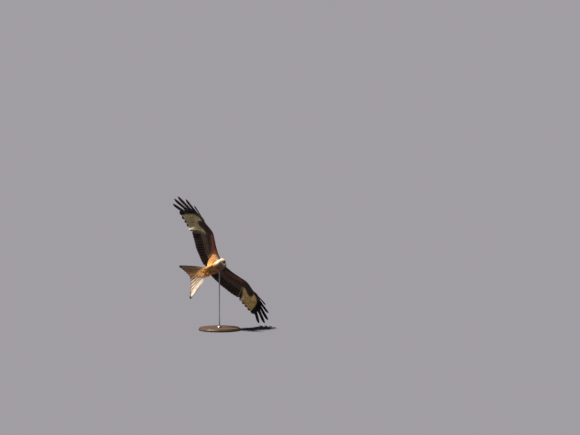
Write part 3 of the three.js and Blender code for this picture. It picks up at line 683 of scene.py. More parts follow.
def tubeRings(stations, sides, power=2.0, lateral=None):
    """Rings round a path of stations (centre, half width, above, below)"""
    centres = np.array([s[0] for s in stations], float)
    rings = []
    turn = 2 * np.pi * np.arange(sides) / sides
    c, v = np.cos(turn), np.sin(turn)
    bulge = (np.abs(c) ** power + np.abs(v) ** power) ** (-1 / power)
    for i, (centre, half, above, below) in enumerate(stations):
        forward = unit(centres[min(i + 1, len(centres) - 1)] - centres[max(i - 1, 0)])
        if lateral is None:
            across = unit(np.cross([0, 0, 1], forward))
        else:
            across = unit(np.array(lateral) - forward * np.dot(lateral, forward))
        up = np.cross(forward, across)
        height = np.where(v > 0, above, below)
        rings.append(centre + np.outer(half * c * bulge, across) + np.outer(height * v * bulge, up))
    return rings


def curvePoints(points, count):
    """Even points on a smooth curve through a few"""
    points = np.array(points, float)
    ends = np.vstack([2 * points[0] - points[1], points, 2 * points[-1] - points[-2]])
    made = []
    for share in np.linspace(0, 1, count) * (len(points) - 1):
        k = min(int(share), len(points) - 2)
        t = share - k
        p0, p1, p2, p3 = ends[k : k + 4]
        made.append(0.5 * (2 * p1 + (p2 - p0) * t + (2 * p0 - 5 * p1 + 4 * p2 - p3) * t * t + (3 * p1 - p0 - 3 * p2 + p3) * t**3))
    return np.array(made)


def joinAll(pieces, name):
    bpy.ops.object.select_all(action="DESELECT")
    for piece in pieces:
        piece.select_set(True)
    bpy.context.view_layer.objects.active = pieces[0]
    bpy.ops.object.join()
    piece = bpy.context.object
    piece.name = name
    piece.select_set(False)
    return piece


def addModifier(piece, kind, **values):
    bpy.context.view_layer.objects.active = piece
    modifier = piece.modifiers.new(kind.title(), kind)
    for name, value in values.items():
        setattr(modifier, name, value)
    bpy.ops.object.modifier_apply(modifier=modifier.name)


def coordinates(mesh):
    found = np.zeros(len(mesh.vertices) * 3, np.float32)
    mesh.vertices.foreach_get("co", found)
    return found.reshape(-1, 3).astype(float)


def normalsOf(mesh):
    found = np.zeros(len(mesh.vertices) * 3, np.float32)
    mesh.vertices.foreach_get("normal", found)
    return found.reshape(-1, 3).astype(float)


# Skin, inside the plumage by its depth
torso = {
    "front": 62, "back": -178, "rings": 19, "sides": 32, "width": 100, "depth": 100, "chest": -8, "level": -19,
    "plumage": 5.0, "power": 2.15,
}


def torsoStations(grow):
    stations = []
    for i in range(torso["rings"]):
        x = mix(torso["back"], torso["front"], (1 - math.cos(math.pi * i / (torso["rings"] - 1))) / 2)
        forward = min(max((x - torso["chest"]) / (torso["front"] - torso["chest"]), 0), 1)
        rearward = min(max((torso["chest"] - x) / (torso["chest"] - torso["back"]), 0), 1)
        full = math.sqrt(max(1 - forward**2.6, 0.13)) * (1 - 0.72 * rearward**1.7)
        sink = -9 * forward if x > torso["chest"] else 17 * rearward
        half = torso["width"] / 2 * full + grow
        stations.append(((x, 0, torso["level"] + sink), half, half * 0.94, half))
    return stations


skullSteps = [
    (-36, 8, 8, 9), (-33, 16, 14.5, 17), (-24, 23, 20.5, 23.5), (-10, 26, 24, 24.5), (3, 25, 23.8, 22.5),
    (13, 20.8, 20.4, 19), (20.5, 15.4, 15, 15.6), (head["billBase"], 9.2, 8.6, 12.4),
]


def skullRings(grow, sides=36):
    turn = 2 * np.pi * np.arange(sides) / sides
    rings = []
    for forward, half, top, bottom in skullSteps:
        height = np.where(np.sin(turn) > 0, top + grow, bottom + grow)
        points = np.stack([np.full(sides, forward), (half + grow) * np.cos(turn), height * np.sin(turn)], 1)
        rings.append(moved(headToBird, points))
    return rings


def neckStations(grow):
    throat = moved(headToBird, [(-11, 0, -2)])[0]
    path = curvePoints([(18, -2, -22), (40, -9, -26), (55, -15, -29), throat], 9)
    half = np.interp(np.linspace(0, 1, 9), np.linspace(0, 1, 7), [40, 42, 42, 39, 35, 31, 25.5]) + grow
    return [(p, h, h, h) for p, h in zip(path, half)]


def wingRings(pose, grow):
    rings = []
    turn = 2 * np.pi * np.arange(20) / 20
    for b in (22, 60, 100, 150, 200, 240, 265, 292, 330, 366, 404):
        front = along(wing["leadingEdge"], b) + 0.5 * grow
        rear = along(wing["boneEdge"], b)
        half = max(along(wing["boneThickness"], b) + grow, 2.2)
        share = (1 + np.cos(turn)) / 2
        rise = np.sin(turn) * (0.45 + 0.75 * share) * half
        rings.append(wingPoint(mix(rear, front, share), b, np.where(rise > 0, rise, rise * 0.8), pose))
    return rings


def thighStations(side, grow):
    path = [(-32, 23, -36, 12), (-52, 28, -40, 22), (-76, 29, -41, 24), (-100, 26, -41, 20), (-120, 22, -42, 13), (-134, 19, -42, 8)]
    return [((x, side * y, z), (r + grow) * 0.85, r + grow, r + grow) for x, y, z, r in path]


def browStations(side):
    path = [(-4, 20.0, 11.6, 2.4), (6, 18.6, 12.2, 4.6), (14, 15.2, 12.2, 4.6), (22, 9.4, 9.2, 2.8)]
    return [(moved(headToBird, [(f, side * l, u)])[0], r - 0.8, (r - 0.8) * 0.8, (r - 0.8) * 0.8) for f, l, u, r in path]


def rumpStations():
    path = [(-140, 23, 17.5, 19), (-164, 23, 15, 17), (-180, 22, 12, 13), (-196, 16, 5, 6), (-206, 9, 1.6, 1.6)]
    return [((x, 0, 1), half - 2, above - 2 if above > 4 else above, below - 2 if below > 4 else below) for x, half, above, below in path]


# Fillet between the side of the body and the underside of the wing root: x, its outer edge along the wing,
# and the place of its foot on the body
axilla = [
    (14, 46, 40, -2), (8, 72, 43, -13), (-6, 92, 46, -24), (-34, 99, 46, -31), (-64, 95, 44, -33),
    (-92, 84, 39, -32), (-118, 68, 34, -27), (-140, 48, 28, -15),
]


def axillaRings(pose):
    rings = []
    for x, outB, footY, footZ in axilla:
        top = wingPoint(x, outB, -8, pose)
        foot = np.array([x, pose["side"] * footY, footZ])
        inner = np.array([x, pose["side"] * 16, 10])
        low = np.array([x, pose["side"] * 16, footZ * 0.6])
        slope = [mix(foot, top, share) for share in (0.25, 0.5, 0.75)]
        under = [point + np.array([0, 0, -3 * math.sin(math.pi * share)]) for point, share in zip(slope, (0.25, 0.5, 0.75))]
        ring = [inner, mix(inner, top, 0.5), top, *under[::-1], foot, low]
        rings.append(np.array(ring))
    return rings


def makeSkin():
    parts = [
        loft("trunk", tubeRings(torsoStations(-torso["plumage"]), torso["sides"], torso["power"])),
        loft("throat", tubeRings(neckStations(-4.5), 32)),
        loft("skull", skullRings(-1.8)),
        loft("rump", tubeRings(rumpStations(), 24)),
    ]
    for pose in wingPose.values():
        parts.append(loft("arm", wingRings(pose, -1.6)))
        parts.append(loft("thigh", tubeRings(thighStations(pose["side"], -4), 24)))
        parts.append(loft("brow", tubeRings(browStations(pose["side"]), 12)))
        parts.append(loft("fillet", axillaRings(pose)))
    skin = joinAll(parts, "skin")
    addModifier(skin, "REMESH", mode="VOXEL", voxel_size=2.0)
    addModifier(skin, "SMOOTH", factor=0.5, iterations=4)
    bpy.ops.object.select_all(action="DESELECT")
    skin.select_set(True)
    bpy.ops.object.shade_smooth()
    skin.select_set(False)
    return skin


skin = makeSkin()
skinPoints = coordinates(skin.data)
skinNormals = normalsOf(skin.data)
print(f"skin: {len(skin.data.polygons)} faces")


def onWing(points):
    """How far each point belongs to a wing rather than to the body"""
    a = points[:, 0]
    b = np.abs(points[:, 1])
    level = wing["shoulderZ"] + 0.26 * (b - wing["shoulderB"])
    over = points[:, 2] - level
    near = np.where(over > 0, smooth(over, 40, 26), smooth(-over, 24, 16))
    return smooth(b, 42, 56) * near * smooth(a, -112, -92)


def plumageAt(points, normals):
    """Markings anywhere on the skin"""
    ground, marks = bodyMarkings(points, normals)
    share = onWing(points)
    for pose in wingPose.values():
        mine = (points[:, 1] * pose["side"] > 30) & (share > 0)
        a, b = wingPlan(points[mine], pose)
        under = smooth(normals[mine, 2], 0.12, -0.12)
        wingGround, wingMarks = wingMarkings(a, b, under, pose["side"])
        ground[mine] = tint(ground[mine], wingGround, share[mine])
        marks[mine] = tint(marks[mine], wingMarks, share[mine])
    return ground, marks


def unwrapAt(points):
    """Place on an unwrap of the skin: the trunk and the head rolled out, the wings laid flat"""
    x, y, z = points.T
    local = moved(birdToHead, points)
    front = (points - neckFrom) @ neckAxis
    rolled = np.arctan2(y, z + 19) / (2 * np.pi) + 0.5
    body = np.stack([0.02 + 0.44 * np.clip((x + 230) / 320, 0, 1), 0.02 + 0.46 * rolled], 1)
    turned = np.arctan2(local[:, 1], local[:, 2]) / (2 * np.pi) + 0.5
    face = np.stack([0.52 + 0.44 * np.clip((local[:, 0] + 60) / 90, 0, 1), 0.02 + 0.46 * turned], 1)
    flat = np.stack([0.02 + 0.94 * np.abs(y) / 430, 0.52 + 0.21 * np.clip((x + 130) / 210, 0, 1) + 0.23 * (y > 0)], 1)
    uv = np.where((front > 0)[:, None], face, body)
    return np.where((onWing(points) > 0.5)[:, None], flat, uv)


def flowAt(points, normals):
    """The way the plumage lies on the skin"""
    front = (points - neckFrom) @ neckAxis
    backward = -np.array(headToBird.to_3x3().col[0])
    flow = mix(np.array([-1.0, 0, 0]), backward, smooth(front, -12, 46)[:, None])
    share = onWing(points)
    for pose in wingPose.values():
        mine = (points[:, 1] * pose["side"] > 30) & (share > 0)
        a, b = wingPlan(points[mine], pose)
        angle = np.radians(np.interp(b, [50, 150, 262, 300, 350, 400], [-3, 12, 32, 38, 52, 66]))
        step = 1.0
        run = wingPoint(a - step * np.cos(angle), b + step * np.sin(angle), 0, pose) - wingPoint(a, b, 0, pose)
        flow[mine] = mix(flow[mine], unit(run), share[mine][:, None])
    flow -= normals * np.einsum("ij,ij->i", flow, normals)[:, None]
    return unit(flow)


# Flight feathers
primaryLength = [238, 256, 273, 297, 322, 406, 399, 364, 272, 164]
primaryFanDeg = [33.9, 37.8, 41.8, 45.4, 49.2, 51.5, 57.6, 63.6, 72.2, 82.6]
primaryRoot = {"a": 28, "b": 282, "stepA": -0.5, "stepB": 13.1}
firstFinger = 6
fingerNotch = [0.72, 0.64, 0.6, 0.6, 0.36]
fingerStretch = {"right": [0, 0, 0, 0, 0], "left": [0.065, 0.05, 0.01, 0, 0]}
secondaries = {
    "count": 14, "rootA": 26, "rootB": 266, "stepB": 16, "elbowA": -22, "elbowB": 140,
    "outerTipB": 386, "innerTipB": 46, "moultGap": 12,
}
vaneTilt = 0.085
# the innermost primary, half grown beside the moult gap, is turned on its shaft
innermostTwist = {"right": 0.3, "left": -0.12}


def primaryLine(i):
    i = np.asarray(i, float)
    root = np.stack([primaryRoot["a"] + i * primaryRoot["stepA"], primaryRoot["b"] + i * primaryRoot["stepB"]], -1)
    angle = np.radians(np.interp(i, range(10), primaryFanDeg))
    length = np.interp(i, range(10), primaryLength)
    return root, root + np.stack([-length * np.cos(angle), length * np.sin(angle)], -1)


def secondaryLine(i):
    i = np.asarray(i, float)
    share = i / (secondaries["count"] - 1)
    b = secondaries["rootB"] - i * secondaries["stepB"]
    reach = (b - secondaries["elbowB"]) / (secondaries["rootB"] - secondaries["elbowB"])
    a = mix(secondaries["elbowA"], secondaries["rootA"], np.maximum(reach, 0))
    tipB = mix(secondaries["outerTipB"], secondaries["innerTipB"], share)
    tipA = along(wing["trailingEdge"], tipB) + secondaries["moultGap"] * np.maximum(1 - i, 0)
    return np.stack([a, b], -1), np.stack([tipA, tipB], -1)


def webWidth(t, full, quill=2.2, bloom=0.22, end=0.9):
    grown = mix(quill, full, smooth(t, 0.02, bloom))
    rounded = np.sqrt(np.maximum(1 - np.maximum((t - end) / (1.06 - end), 0) ** 2, 0.05))
    return grown * rounded


def notchedWeb(t, full, finger, notch):
    narrow = mix(mix(2.2, full, smooth(t, 0.02, 0.2)), finger, smooth(t, notch - 0.07, notch + 0.05))
    return narrow * np.sqrt(np.maximum(1 - np.maximum((t - 0.86) / 0.146, 0) ** 2, 0.05))


def planVanes(place, roots, tips, outer, inner, t, spec, random):
    """Vanes on a plan surface. outer and inner are (vane, station) web widths."""
    columns = spec["columns"]
    across, side, column = ringOf(columns)
    number = len(roots)
    run = tips - roots
    length = np.linalg.norm(run, axis=1)
    outward = np.stack([run[:, 1], -run[:, 0]], 1) / length[:, None] * spec.get("mirror", 1)
    edge = np.abs(np.linspace(-1, 1, columns))
    shorter = spec["round"] * edge**2.2 + spec["ragged"] * random.random((number, columns))
    shorter[:, columns // 2] *= 0.3
    T = t[None, :, None] * (1 - shorter[:, None, column] * smooth(t, 0.3, 1)[None, :, None])
    width = np.where(across[None, None, :] > 0, outer[:, :, None], inner[:, :, None])
    torn = (random.random((number, len(t), 2)) > 0.96) * ((t > 0.4) & (t < 0.8))[None, :, None]
    split = 1 - spec.get("split", 0) * torn * random.random((number, len(t), 2))
    atEdge = np.abs(across) > 0.99
    width = width * np.where(atEdge[None, None, :], split[:, :, (across > 0).astype(int)], 1)
    w = across[None, None, :] * width
    bend = spec.get("bow", 0) * 4 * T * (1 - T)
    p = roots[:, 0, None, None] + run[:, 0, None, None] * T + outward[:, 0, None, None] * (w + bend)
    q = roots[:, 1, None, None] + run[:, 1, None, None] * T + outward[:, 1, None, None] * (w + bend)
    raised = spec.get("raise", 0)
    lift = mix(spec.get("rootRaise", raised), raised, smooth(T, 0, 0.45))
    tilt = mix(spec.get("rootTilt", 0.15), vaneTilt, smooth(T, 0.05, 0.5)) + spec.get("twist", 0) * smooth(T, 0.4, 0.8)
    half = mix(spec["thick"], 0.5, t)[None, :, None] / 2 * np.sqrt(1.02 - across**2)[None, None, :]
    cup = spec.get("cup", 0) * across**2
    n = lift + tilt * w - cup + side * half
    return place(p, q, n), p, q, T + 0 * p


evenStations = np.concatenate([np.linspace(0, 0.9, 26), np.linspace(0.925, 1, 6)])


def addShafts(coat, place, roots, tips, t, radius, spec, random, patches, groundUnder, groundTop):
    """Round tapered shafts along the middle of the vanes"""
    width = np.broadcast_to(mix(radius, 0.25, t), (len(roots), len(t)))
    shaft = spec | {"columns": 3, "round": 0, "ragged": 0, "split": 0, "cup": 0, "thick": 2.4 * radius}
    points, p, q, T = planVanes(place, roots, tips, width, width, t, shaft, random)
    across, side, column = ringOf(3)
    ground = tint(groundTop, groundUnder, (side < 0) * 1.0)[None, None] + np.zeros_like(points)
    addVanes(coat, points, ground, (0, 0, 0), 3, T, patches, (0.0016, 0.9), 0.0018)


def underShare(ring):
    """Which points of a ring lie below; its edges count as below"""
    return (ringOf(ring)[1] <= 0) * 1.0


def makeFlight(name, pose):
    place = lambda a, b, n: wingPoint(a, b, n, pose)
    random = np.random.default_rng(11 if name == "right" else 12)
    coat = newCoat()
    t = evenStations
    spec = {"columns": 9, "round": 0.014, "ragged": 0.004, "split": 0.1, "thick": 1.1, "bow": 5, "cup": 0.5}
    groups = []
    roots, tips = primaryLine(np.arange(10))
    stretch = 1 + np.array([0] * (firstFinger - 1) + fingerStretch[name])
    tips = roots + (tips - roots) * stretch[:, None]
    outer, inner = [], []
    for number in range(1, 11):
        if number < firstFinger:
            outer.append(webWidth(t, 13, 2.2, 0.22, 0.84))
            inner.append(webWidth(t, 30, 22, 0.22, 0.84) if number == 1 else webWidth(t, 29, 2.2, 0.22, 0.84))
        else:
            notch = fingerNotch[number - firstFinger]
            outerFull = {6: 13, 9: 7, 10: 6}.get(number, 10)
            outerFinger = {9: 7, 10: 6}.get(number, 10)
            outer.append(notchedWeb(t, outerFull, outerFinger, notch - 0.04))
            inner.append(notchedWeb(t, 11 if number == 10 else 27, 8.5 if number == 10 else 16.5, notch))
    twist = np.array([innermostTwist[name]] + 9 * [0.0])[:, None, None]
    groups.append((roots, tips, np.array(outer), np.array(inner), spec | {"bow": 6, "twist": twist}, 0))
    roots, tips = secondaryLine(np.arange(secondaries["count"]))
    outer = [webWidth(t, 22, 18) if i == 0 else webWidth(t, 14) for i in range(secondaries["count"])]
    inner = [webWidth(t, 24) for i in range(secondaries["count"])]
    groups.append((roots, tips, np.array(outer), np.array(inner), spec | {"bow": 0, "round": 0.022}, 10))
    under = underShare(9)
    for roots, tips, outer, inner, spec, first in groups:
        points, p, q, T = planVanes(place, roots, tips, outer, inner, t, spec, random)
        across = ringOf(9)[0]
        below = under + 0 * p
        ground, marks = flightMarkings(p, q, T, across + 0 * p, below, pose["side"])
        strips = np.stack([0.01 + 0.04 * (first + np.arange(len(roots))), np.full(len(roots), 0.02)], 1)
        addVanes(coat, points, ground, marks, 9, T, strips, (0.016, 0.95), 0.019)
        addShafts(coat, place, roots, tips, t, 1.5, spec, random, strips + [0.0358, 0], colours["shaft"], colours["finger"])
    return finishCoat(
        coat, f"flightFeathers{name.title()}", featherMaterials["flight"], "wing_feathers",
        f"wing_{name}_arm", f"wing_{name}_hand",
    )


for name, pose in wingPose.items():
    makeFlight(name, pose)
print("flight feathers done")


# Coverts over the roots of the flight feathers, above and below
def covertRow(line, indices, share, length):
    roots, tips = line(indices)
    end = roots + (tips - roots) * share
    back = unit(tips - roots) * length
    return end - back, end


covertStations = np.array([0, 0.2, 0.42, 0.62, 0.78, 0.9, 1.0])
covertRows = [
    {"line": primaryLine, "count": 20, "span": 9, "share": 0.36, "length": 88, "width": 12.5, "raise": 3.6},
    {"line": primaryLine, "count": 24, "span": 9, "share": 0.21, "length": 52, "width": 9, "raise": 5.2},
    {"line": secondaryLine, "count": 30, "span": 13, "share": 0.53, "length": 112, "width": 14, "raise": 3.8},
    {"line": secondaryLine, "count": 34, "span": 13, "share": 0.37, "length": 70, "width": 11, "raise": 5.6},
    {"line": secondaryLine, "count": 38, "span": 13, "share": 0.27, "length": 44, "width": 9, "raise": 7.2},
]


def makeCoverts(name, pose, upper):
    place = lambda a, b, n: wingPoint(a, b, n, pose)
    random = np.random.default_rng(21 + 2 * (name == "left") + upper)
    coat = newCoat()
    t = covertStations
    sign = 1 if upper else -1
    for row in covertRows:
        indices = np.linspace(0, row["span"], row["count"]) + random.uniform(-0.08, 0.08, row["count"])
        indices = np.clip(indices, 0, row["span"])
        share = row["share"] + random.uniform(-0.012, 0.012, row["count"])[:, None]
        roots, tips = covertRow(row["line"], indices, share, row["length"])
        width = row["width"] * random.uniform(0.92, 1.08, row["count"])[:, None]
        web = webWidth(t, 1, 0.35, 0.35, 0.7)[None] * width
        spec = {
            "columns": 7, "round": 0.16, "ragged": 0.025, "thick": 0.8, "cup": 0.6 * sign, "rootTilt": 0.12,
            "raise": sign * row["raise"], "rootRaise": sign * row["raise"] * 0.55,
        }
        points, p, q, T = planVanes(place, roots, tips, web, web * 1.15, t, spec, random)
        ground, marks = wingMarkings(p, q, np.full(p.shape, 1.0 - upper), pose["side"])
        tone = random.uniform(0.86, 1.14, row["count"])[:, None, None, None]
        patches = unwrapAt(points[:, 0, 0])
        addVanes(coat, points, ground * tone, marks, 7, T, patches)
    if upper:
        alula(coat, place, random)
    label = "upperCoverts" if upper else "underCoverts"
    return finishCoat(coat, label + name.title(), featherMaterials["covert"], "wing_feathers")


def alula(coat, place, random):
    """The small stiff feathers of the thumb, along the leading edge"""
    t = covertStations
    steps = np.arange(4)
    roots = np.stack([47 - 4 * steps, 298 + 0 * steps], 1).astype(float)
    tips = np.stack([35 - 9.5 * steps, 362 - 11 * steps], 1).astype(float)
    spec = {"columns": 7, "round": 0.12, "ragged": 0.01, "thick": 0.9, "raise": 3.6, "rootRaise": 5.5}
    outer = np.tile(webWidth(t, 5, 3, 0.3, 0.6), (4, 1))
    inner = np.tile(webWidth(t, 9, 3, 0.3, 0.6), (4, 1))
    points, p, q, T = planVanes(place, roots, tips, outer, inner, t, spec, random)
    ground = colours["flightTop"] + np.zeros_like(points)
    addVanes(coat, points, ground, (0.1, 0.2, 0), 7, T, unwrapAt(points[:, 0, 0]))


for name, pose in wingPose.items():
    makeCoverts(name, pose, True)
    makeCoverts(name, pose, False)
print("wing coverts done")


# Tail feathers and their coverts
def makeTail():
    random = np.random.default_rng(31)
    coat = newCoat()
    t = evenStations
    number = tail["feathers"]
    order = np.arange(number)
    share = (order + 0.5) / (number - 0.5)
    for side, half in ((-1, tail["right"]), (1, tail["left"])):
        roots = np.stack([np.full(number, tail["rootX"]), side * (3 + 2.4 * order)], 1)
        tips = np.stack([half["centreX"] - half["fork"] * share**1.25, side * half["spread"] * share], 1)
        outer = np.array([webWidth(t, 10 if i == number - 1 else 14, 3, 0.6, 0.88) for i in order])
        inner = np.array([webWidth(t, 21, 3, 0.6, 0.88) for i in order])
        spec = {
            "columns": 9, "round": 0.016, "ragged": 0.004, "split": 0.08, "thick": 0.9, "cup": 0.4,
            "rootTilt": 0.22, "mirror": side,
        }
        points, p, q, T = planVanes(tailPoint, roots, tips, outer, inner, t, spec, random)
        ground, marks = tailMarkings(
            p, q, T, ringOf(9)[0] + 0 * p, order[:, None, None] + 0 * p, side, underShare(9) + 0 * p
        )
        strips = np.stack([0.01 + 0.08 * (order + number * (side > 0)), np.full(number, 0.02)], 1)
        addVanes(coat, points, ground, marks, 9, T, strips, (0.03, 0.95), 0.034)
        addShafts(coat, tailPoint, roots, tips, t, 1.4, spec, random, strips + [0.068, 0], colours["tailRustAndShade"], colours["tailTop"])
    finishCoat(coat, "tailFeathers", featherMaterials["tail"], "tail_feathers", "tail")


makeTail()
print("tail feathers done")
# Small feathers: roots are scattered over the skin, and each vane is laid along it from its root
skinFaces = np.array([face.vertices[:] for face in skin.data.polygons])
skinTree = BVHTree.FromPolygons(skinPoints.tolist(), skinFaces.tolist())
faceNormals = unit(skinNormals[skinFaces].mean(1))
neighbours = [(i, j, k) for i in (-1, 0, 1) for j in (-1, 0, 1) for k in (-1, 0, 1)]


def onSkin(points):
    """Nearest places of the skin, and its normals there"""
    found = [skinTree.find_nearest(point) for point in points]
    return np.array([hit[0] for hit in found]), faceNormals[[hit[2] for hit in found]]


def scatterRoots(random, tries, radiusAt, keep):
    """Points of the skin, no two nearer than the radius there, with their normals"""
    corners = skinPoints[skinFaces]
    areas = np.linalg.norm(np.cross(corners[:, 2] - corners[:, 0], corners[:, 3] - corners[:, 1]), axis=1)
    chance = areas * keep(corners.mean(1), faceNormals)
    pick = random.choice(len(skinFaces), tries, p=chance / chance.sum())
    u, v = random.random((2, tries, 1))
    c = corners[pick]
    points = mix(mix(c[:, 0], c[:, 1], u), mix(c[:, 3], c[:, 2], u), v)
    radius = radiusAt(points)
    cell = radius.max()
    grid = {}
    kept = []
    for index, (point, reach) in enumerate(zip(points, radius)):
        home = tuple(int(k) for k in point // cell)
        near = [k for step in neighbours for k in grid.get(tuple(map(sum, zip(home, step))), ())]
        if near and (np.linalg.norm(points[near] - point, axis=1) < reach).any():
            continue
        grid.setdefault(home, []).append(index)
        kept.append(index)
    return points[kept], faceNormals[pick[kept]]


def layVanes(roots, normals, length, t, turn, cling):
    """Each vane's places, normals and headings, walked from its root along the skin.
    A vane clings to the skin, or runs straight on where cling is small."""
    at, up = roots, normals
    steps = []
    for i, share in enumerate(t):
        way = flowAt(at, up)
        way = way * np.cos(turn)[:, None] + np.cross(up, way) * np.sin(turn)[:, None]
        if i > 0:
            way = unit(mix(steps[-1][2], way, np.maximum(cling, 0.15)[:, None]))
        steps.append((at, up, way))
        if i + 1 < len(t):
            ahead = at + way * (length * (t[i + 1] - share))[:, None]
            on, over = onSkin(ahead)
            up = unit(mix(up, over, cling[:, None]))
            at = mix(ahead, on, cling[:, None])
    return [np.stack(layer, 1) for layer in zip(*steps)]


def addSkinVanes(coat, roots, normals, look, random, length, half, lift, cling):
    """Small feathers on the skin: length, half width, lift of the tip and cling are given for each"""
    across, side, column = ringOf(look["columns"])
    t = np.array(look["stations"])
    number = len(roots)
    length = length * random.uniform(0.85, 1.15, number)
    half = half * random.uniform(0.88, 1.12, number)
    lift = lift * random.uniform(0.7, 1.3, number)
    turn = np.radians(random.normal(0, look["messDeg"], number))
    at, up, way = layVanes(roots, normals, length, t, turn, cling)
    # feathers that curl up in a corner are left out
    reached = np.linalg.norm(at[:, -1] - at[:, 0], axis=1) / length
    turned = np.minimum(np.einsum("ij,ij->i", up[:, 0], up[:, -1]), np.einsum("ij,ij->i", way[:, 0], way[:, -1]))
    tidy = (roots[:, 0] > -40) | ((reached > 0.66) & (turned > 0.45))
    at, up, way, roots, length, half, lift = (values[tidy] for values in (at, up, way, roots, length, half, lift))
    number = len(roots)
    sideways = np.cross(up, way)
    width = webWidth(t, 1, 0.4, 0.4, look["roundFrom"])[None] * half[:, None]
    edge = np.abs(np.linspace(-1, 1, look["columns"]))
    shorter = look["round"] * edge**2 + look["ragged"] * random.random((number, look["columns"]))
    back = shorter[:, None, column] * smooth(t, 0.3, 1)[None, :, None] * length[:, None, None]
    x = across[None, None] * width[:, :, None]
    thick = mix(look["thick"], 0.25, t)[None, :, None] / 2 * np.sqrt(1.04 - across**2)
    rise = mix(-look["sunk"], lift[:, None], t[None])[:, :, None] - look["cup"] * across**2 * width[:, :, None]
    rise = rise + side * thick
    points = at[:, :, None] + sideways[:, :, None] * x[..., None]
    points = points + up[:, :, None] * rise[..., None] - way[:, :, None] * back[..., None]
    middle = len(t) // 2
    ground, marks = plumageAt(at[:, middle], up[:, middle])
    tone = 1 + look["tone"] * random.normal(0, 1, (number, 1))
    # lighter feathers are yellower, darker ones redder
    ground = (ground * np.clip(tone, 0.5, 1.6) ** np.array([0.7, 1.0, 1.4]))[:, None, None]
    addVanes(coat, points, ground, marks[:, None, None], look["columns"], t, unwrapAt(roots))


def regionOf(points):
    """Which coat a root belongs to: head, wing or body"""
    front = (points - neckFrom) @ neckAxis
    return np.where(front > 4, "head", np.where(onWing(points) > 0.5, "wing", "body"))


def clearOfEyes(points, reach):
    local = moved(birdToHead, points)
    x, y, z = head["eyeAt"]
    left = np.linalg.norm(local - [x + 1.5, y + 4, z], axis=1)
    right = np.linalg.norm(local - [x + 1.5, -y - 4, z], axis=1)
    return np.minimum(left, right) > reach


# Line of the mouth, from the bill back under the eye, in the head's frame
gape = {"line": [(26.4, 6.8, -6.5), (23.2, 11.4, -6.9), (20, 14.8, -7.7), (17, 17.4, -9.2)], "radius": 0.9, "apart": 0.9}


def gapeLine(side):
    line = curvePoints([(x, side * y, z) for x, y, z in gape["line"]], 14)
    return onSkin(moved(headToBird, line))


def clearOfGape(points, reach):
    line = np.concatenate([gapeLine(side)[0] for side in (-1, 1)])
    return np.linalg.norm(points[:, None] - line[None], axis=2).min(1) > reach


headCoat = {
    "columns": 3, "stations": [0, 0.3, 0.6, 0.85, 1], "messDeg": 7, "roundFrom": 0.45, "round": 0.12, "ragged": 0.06,
    "thick": 0.55, "sunk": 0.5, "cup": 0.3, "tone": 0.07,
}
bodyCoat = {
    "columns": 5, "stations": [0, 0.25, 0.5, 0.72, 0.88, 1], "messDeg": 9, "roundFrom": 0.6, "round": 0.2, "ragged": 0.09,
    "thick": 0.6, "sunk": 0.8, "cup": 0.16, "tone": 0.2,
}
wingCoat = {
    "columns": 3, "stations": [0, 0.3, 0.6, 0.85, 1], "messDeg": 6, "roundFrom": 0.55, "round": 0.2, "ragged": 0.06,
    "thick": 0.5, "sunk": 0.1, "cup": 0.3, "tone": 0.13,
}


def inCorner(points):
    x, y, z = points.T
    return (x > -114) & (x < -76) & (np.abs(y) > 36) & (np.abs(y) < 64) & (z > 0)


def makeHeadFeathers():
    random = np.random.default_rng(41)
    coat = newCoat()
    backOf = lambda points: smooth(moved(birdToHead, points)[:, 0], 22, -34)
    keep = lambda points, normals: (regionOf(points) == "head") & clearOfEyes(points, 6.2) & clearOfGape(points, 1.7)
    roots, normals = scatterRoots(random, 26000, lambda points: mix(1.5, 4.6, backOf(points) ** 1.3), keep)
    back = backOf(roots)
    length = mix(4.2, 21, back**1.2)
    addSkinVanes(coat, roots, normals, headCoat, random, length, 0.2 * length + 0.35, 1.0 + 0.11 * length, 0 * back + 1)
    return finishCoat(coat, "headFeathers", featherMaterials["head"], "head_feathers")


def makeBodyFeathers():
    random = np.random.default_rng(42)
    coat = newCoat()
    hidden = lambda points, normals: (
        (points[:, 0] < -20) & (np.abs(points[:, 1]) > 38) & (normals[:, 2] > mix(0.25, -0.3, points[:, 0] < -60))
    )
    keep = lambda points, normals: (
        (regionOf(points) == "body") & (points[:, 0] > -196) & (normals[:, 0] > -0.8)
        & ~hidden(points, normals) & ~inCorner(points)
    )
    behind = lambda points: smooth((points - neckFrom) @ neckAxis, 8, -62)
    roots, normals = scatterRoots(random, 40000, lambda points: mix(3.9, 6.3, behind(points)), keep)
    x, y, z = roots.T
    leg = smooth(x, -62, -104) * smooth(z, -30, -44)
    armpit = axillaShare(roots, normals)
    below = leg * smooth(-normals[:, 2], 0.35, 0.85)
    length = mix(mix(mix(17, 29, behind(roots)), 34, leg), mix(66, 92, y > 0), below)
    length = mix(length, 30, armpit)
    shoulder = smooth(normals[:, 2], 0.0, 0.3) * smooth(np.abs(y), 24, 34) * smooth(x, -46, -66)
    cling = mix(1.0, 0.1, below) * mix(1.0, 0.5, smooth(x, -140, -180)) * mix(1.0, 0.1, shoulder)
    cling = cling * mix(1.0, 0.1, armpit * smooth(x, -84, -104))
    half = mix(mix(3.7, 6.6, behind(roots)), 4.6, leg)
    lift = mix(3.0, 2.5, armpit) + 3 * leg + mix(18, 30, y > 0) * below
    addSkinVanes(coat, roots, normals, bodyCoat, random, length, half, lift, cling)
    return finishCoat(coat, "bodyFeathers", featherMaterials["body"], "body_feathers")


def edgeRoots(pose, step, sign):
    """Roots along the leading edge of a wing, a step back from it, above or below"""
    b = np.arange(40, 400, 3.1) + 1.5 * (step > 1)
    return onSkin(wingPoint(along(wing["leadingEdge"], b) - step, b, sign * (2.5 + step), pose))


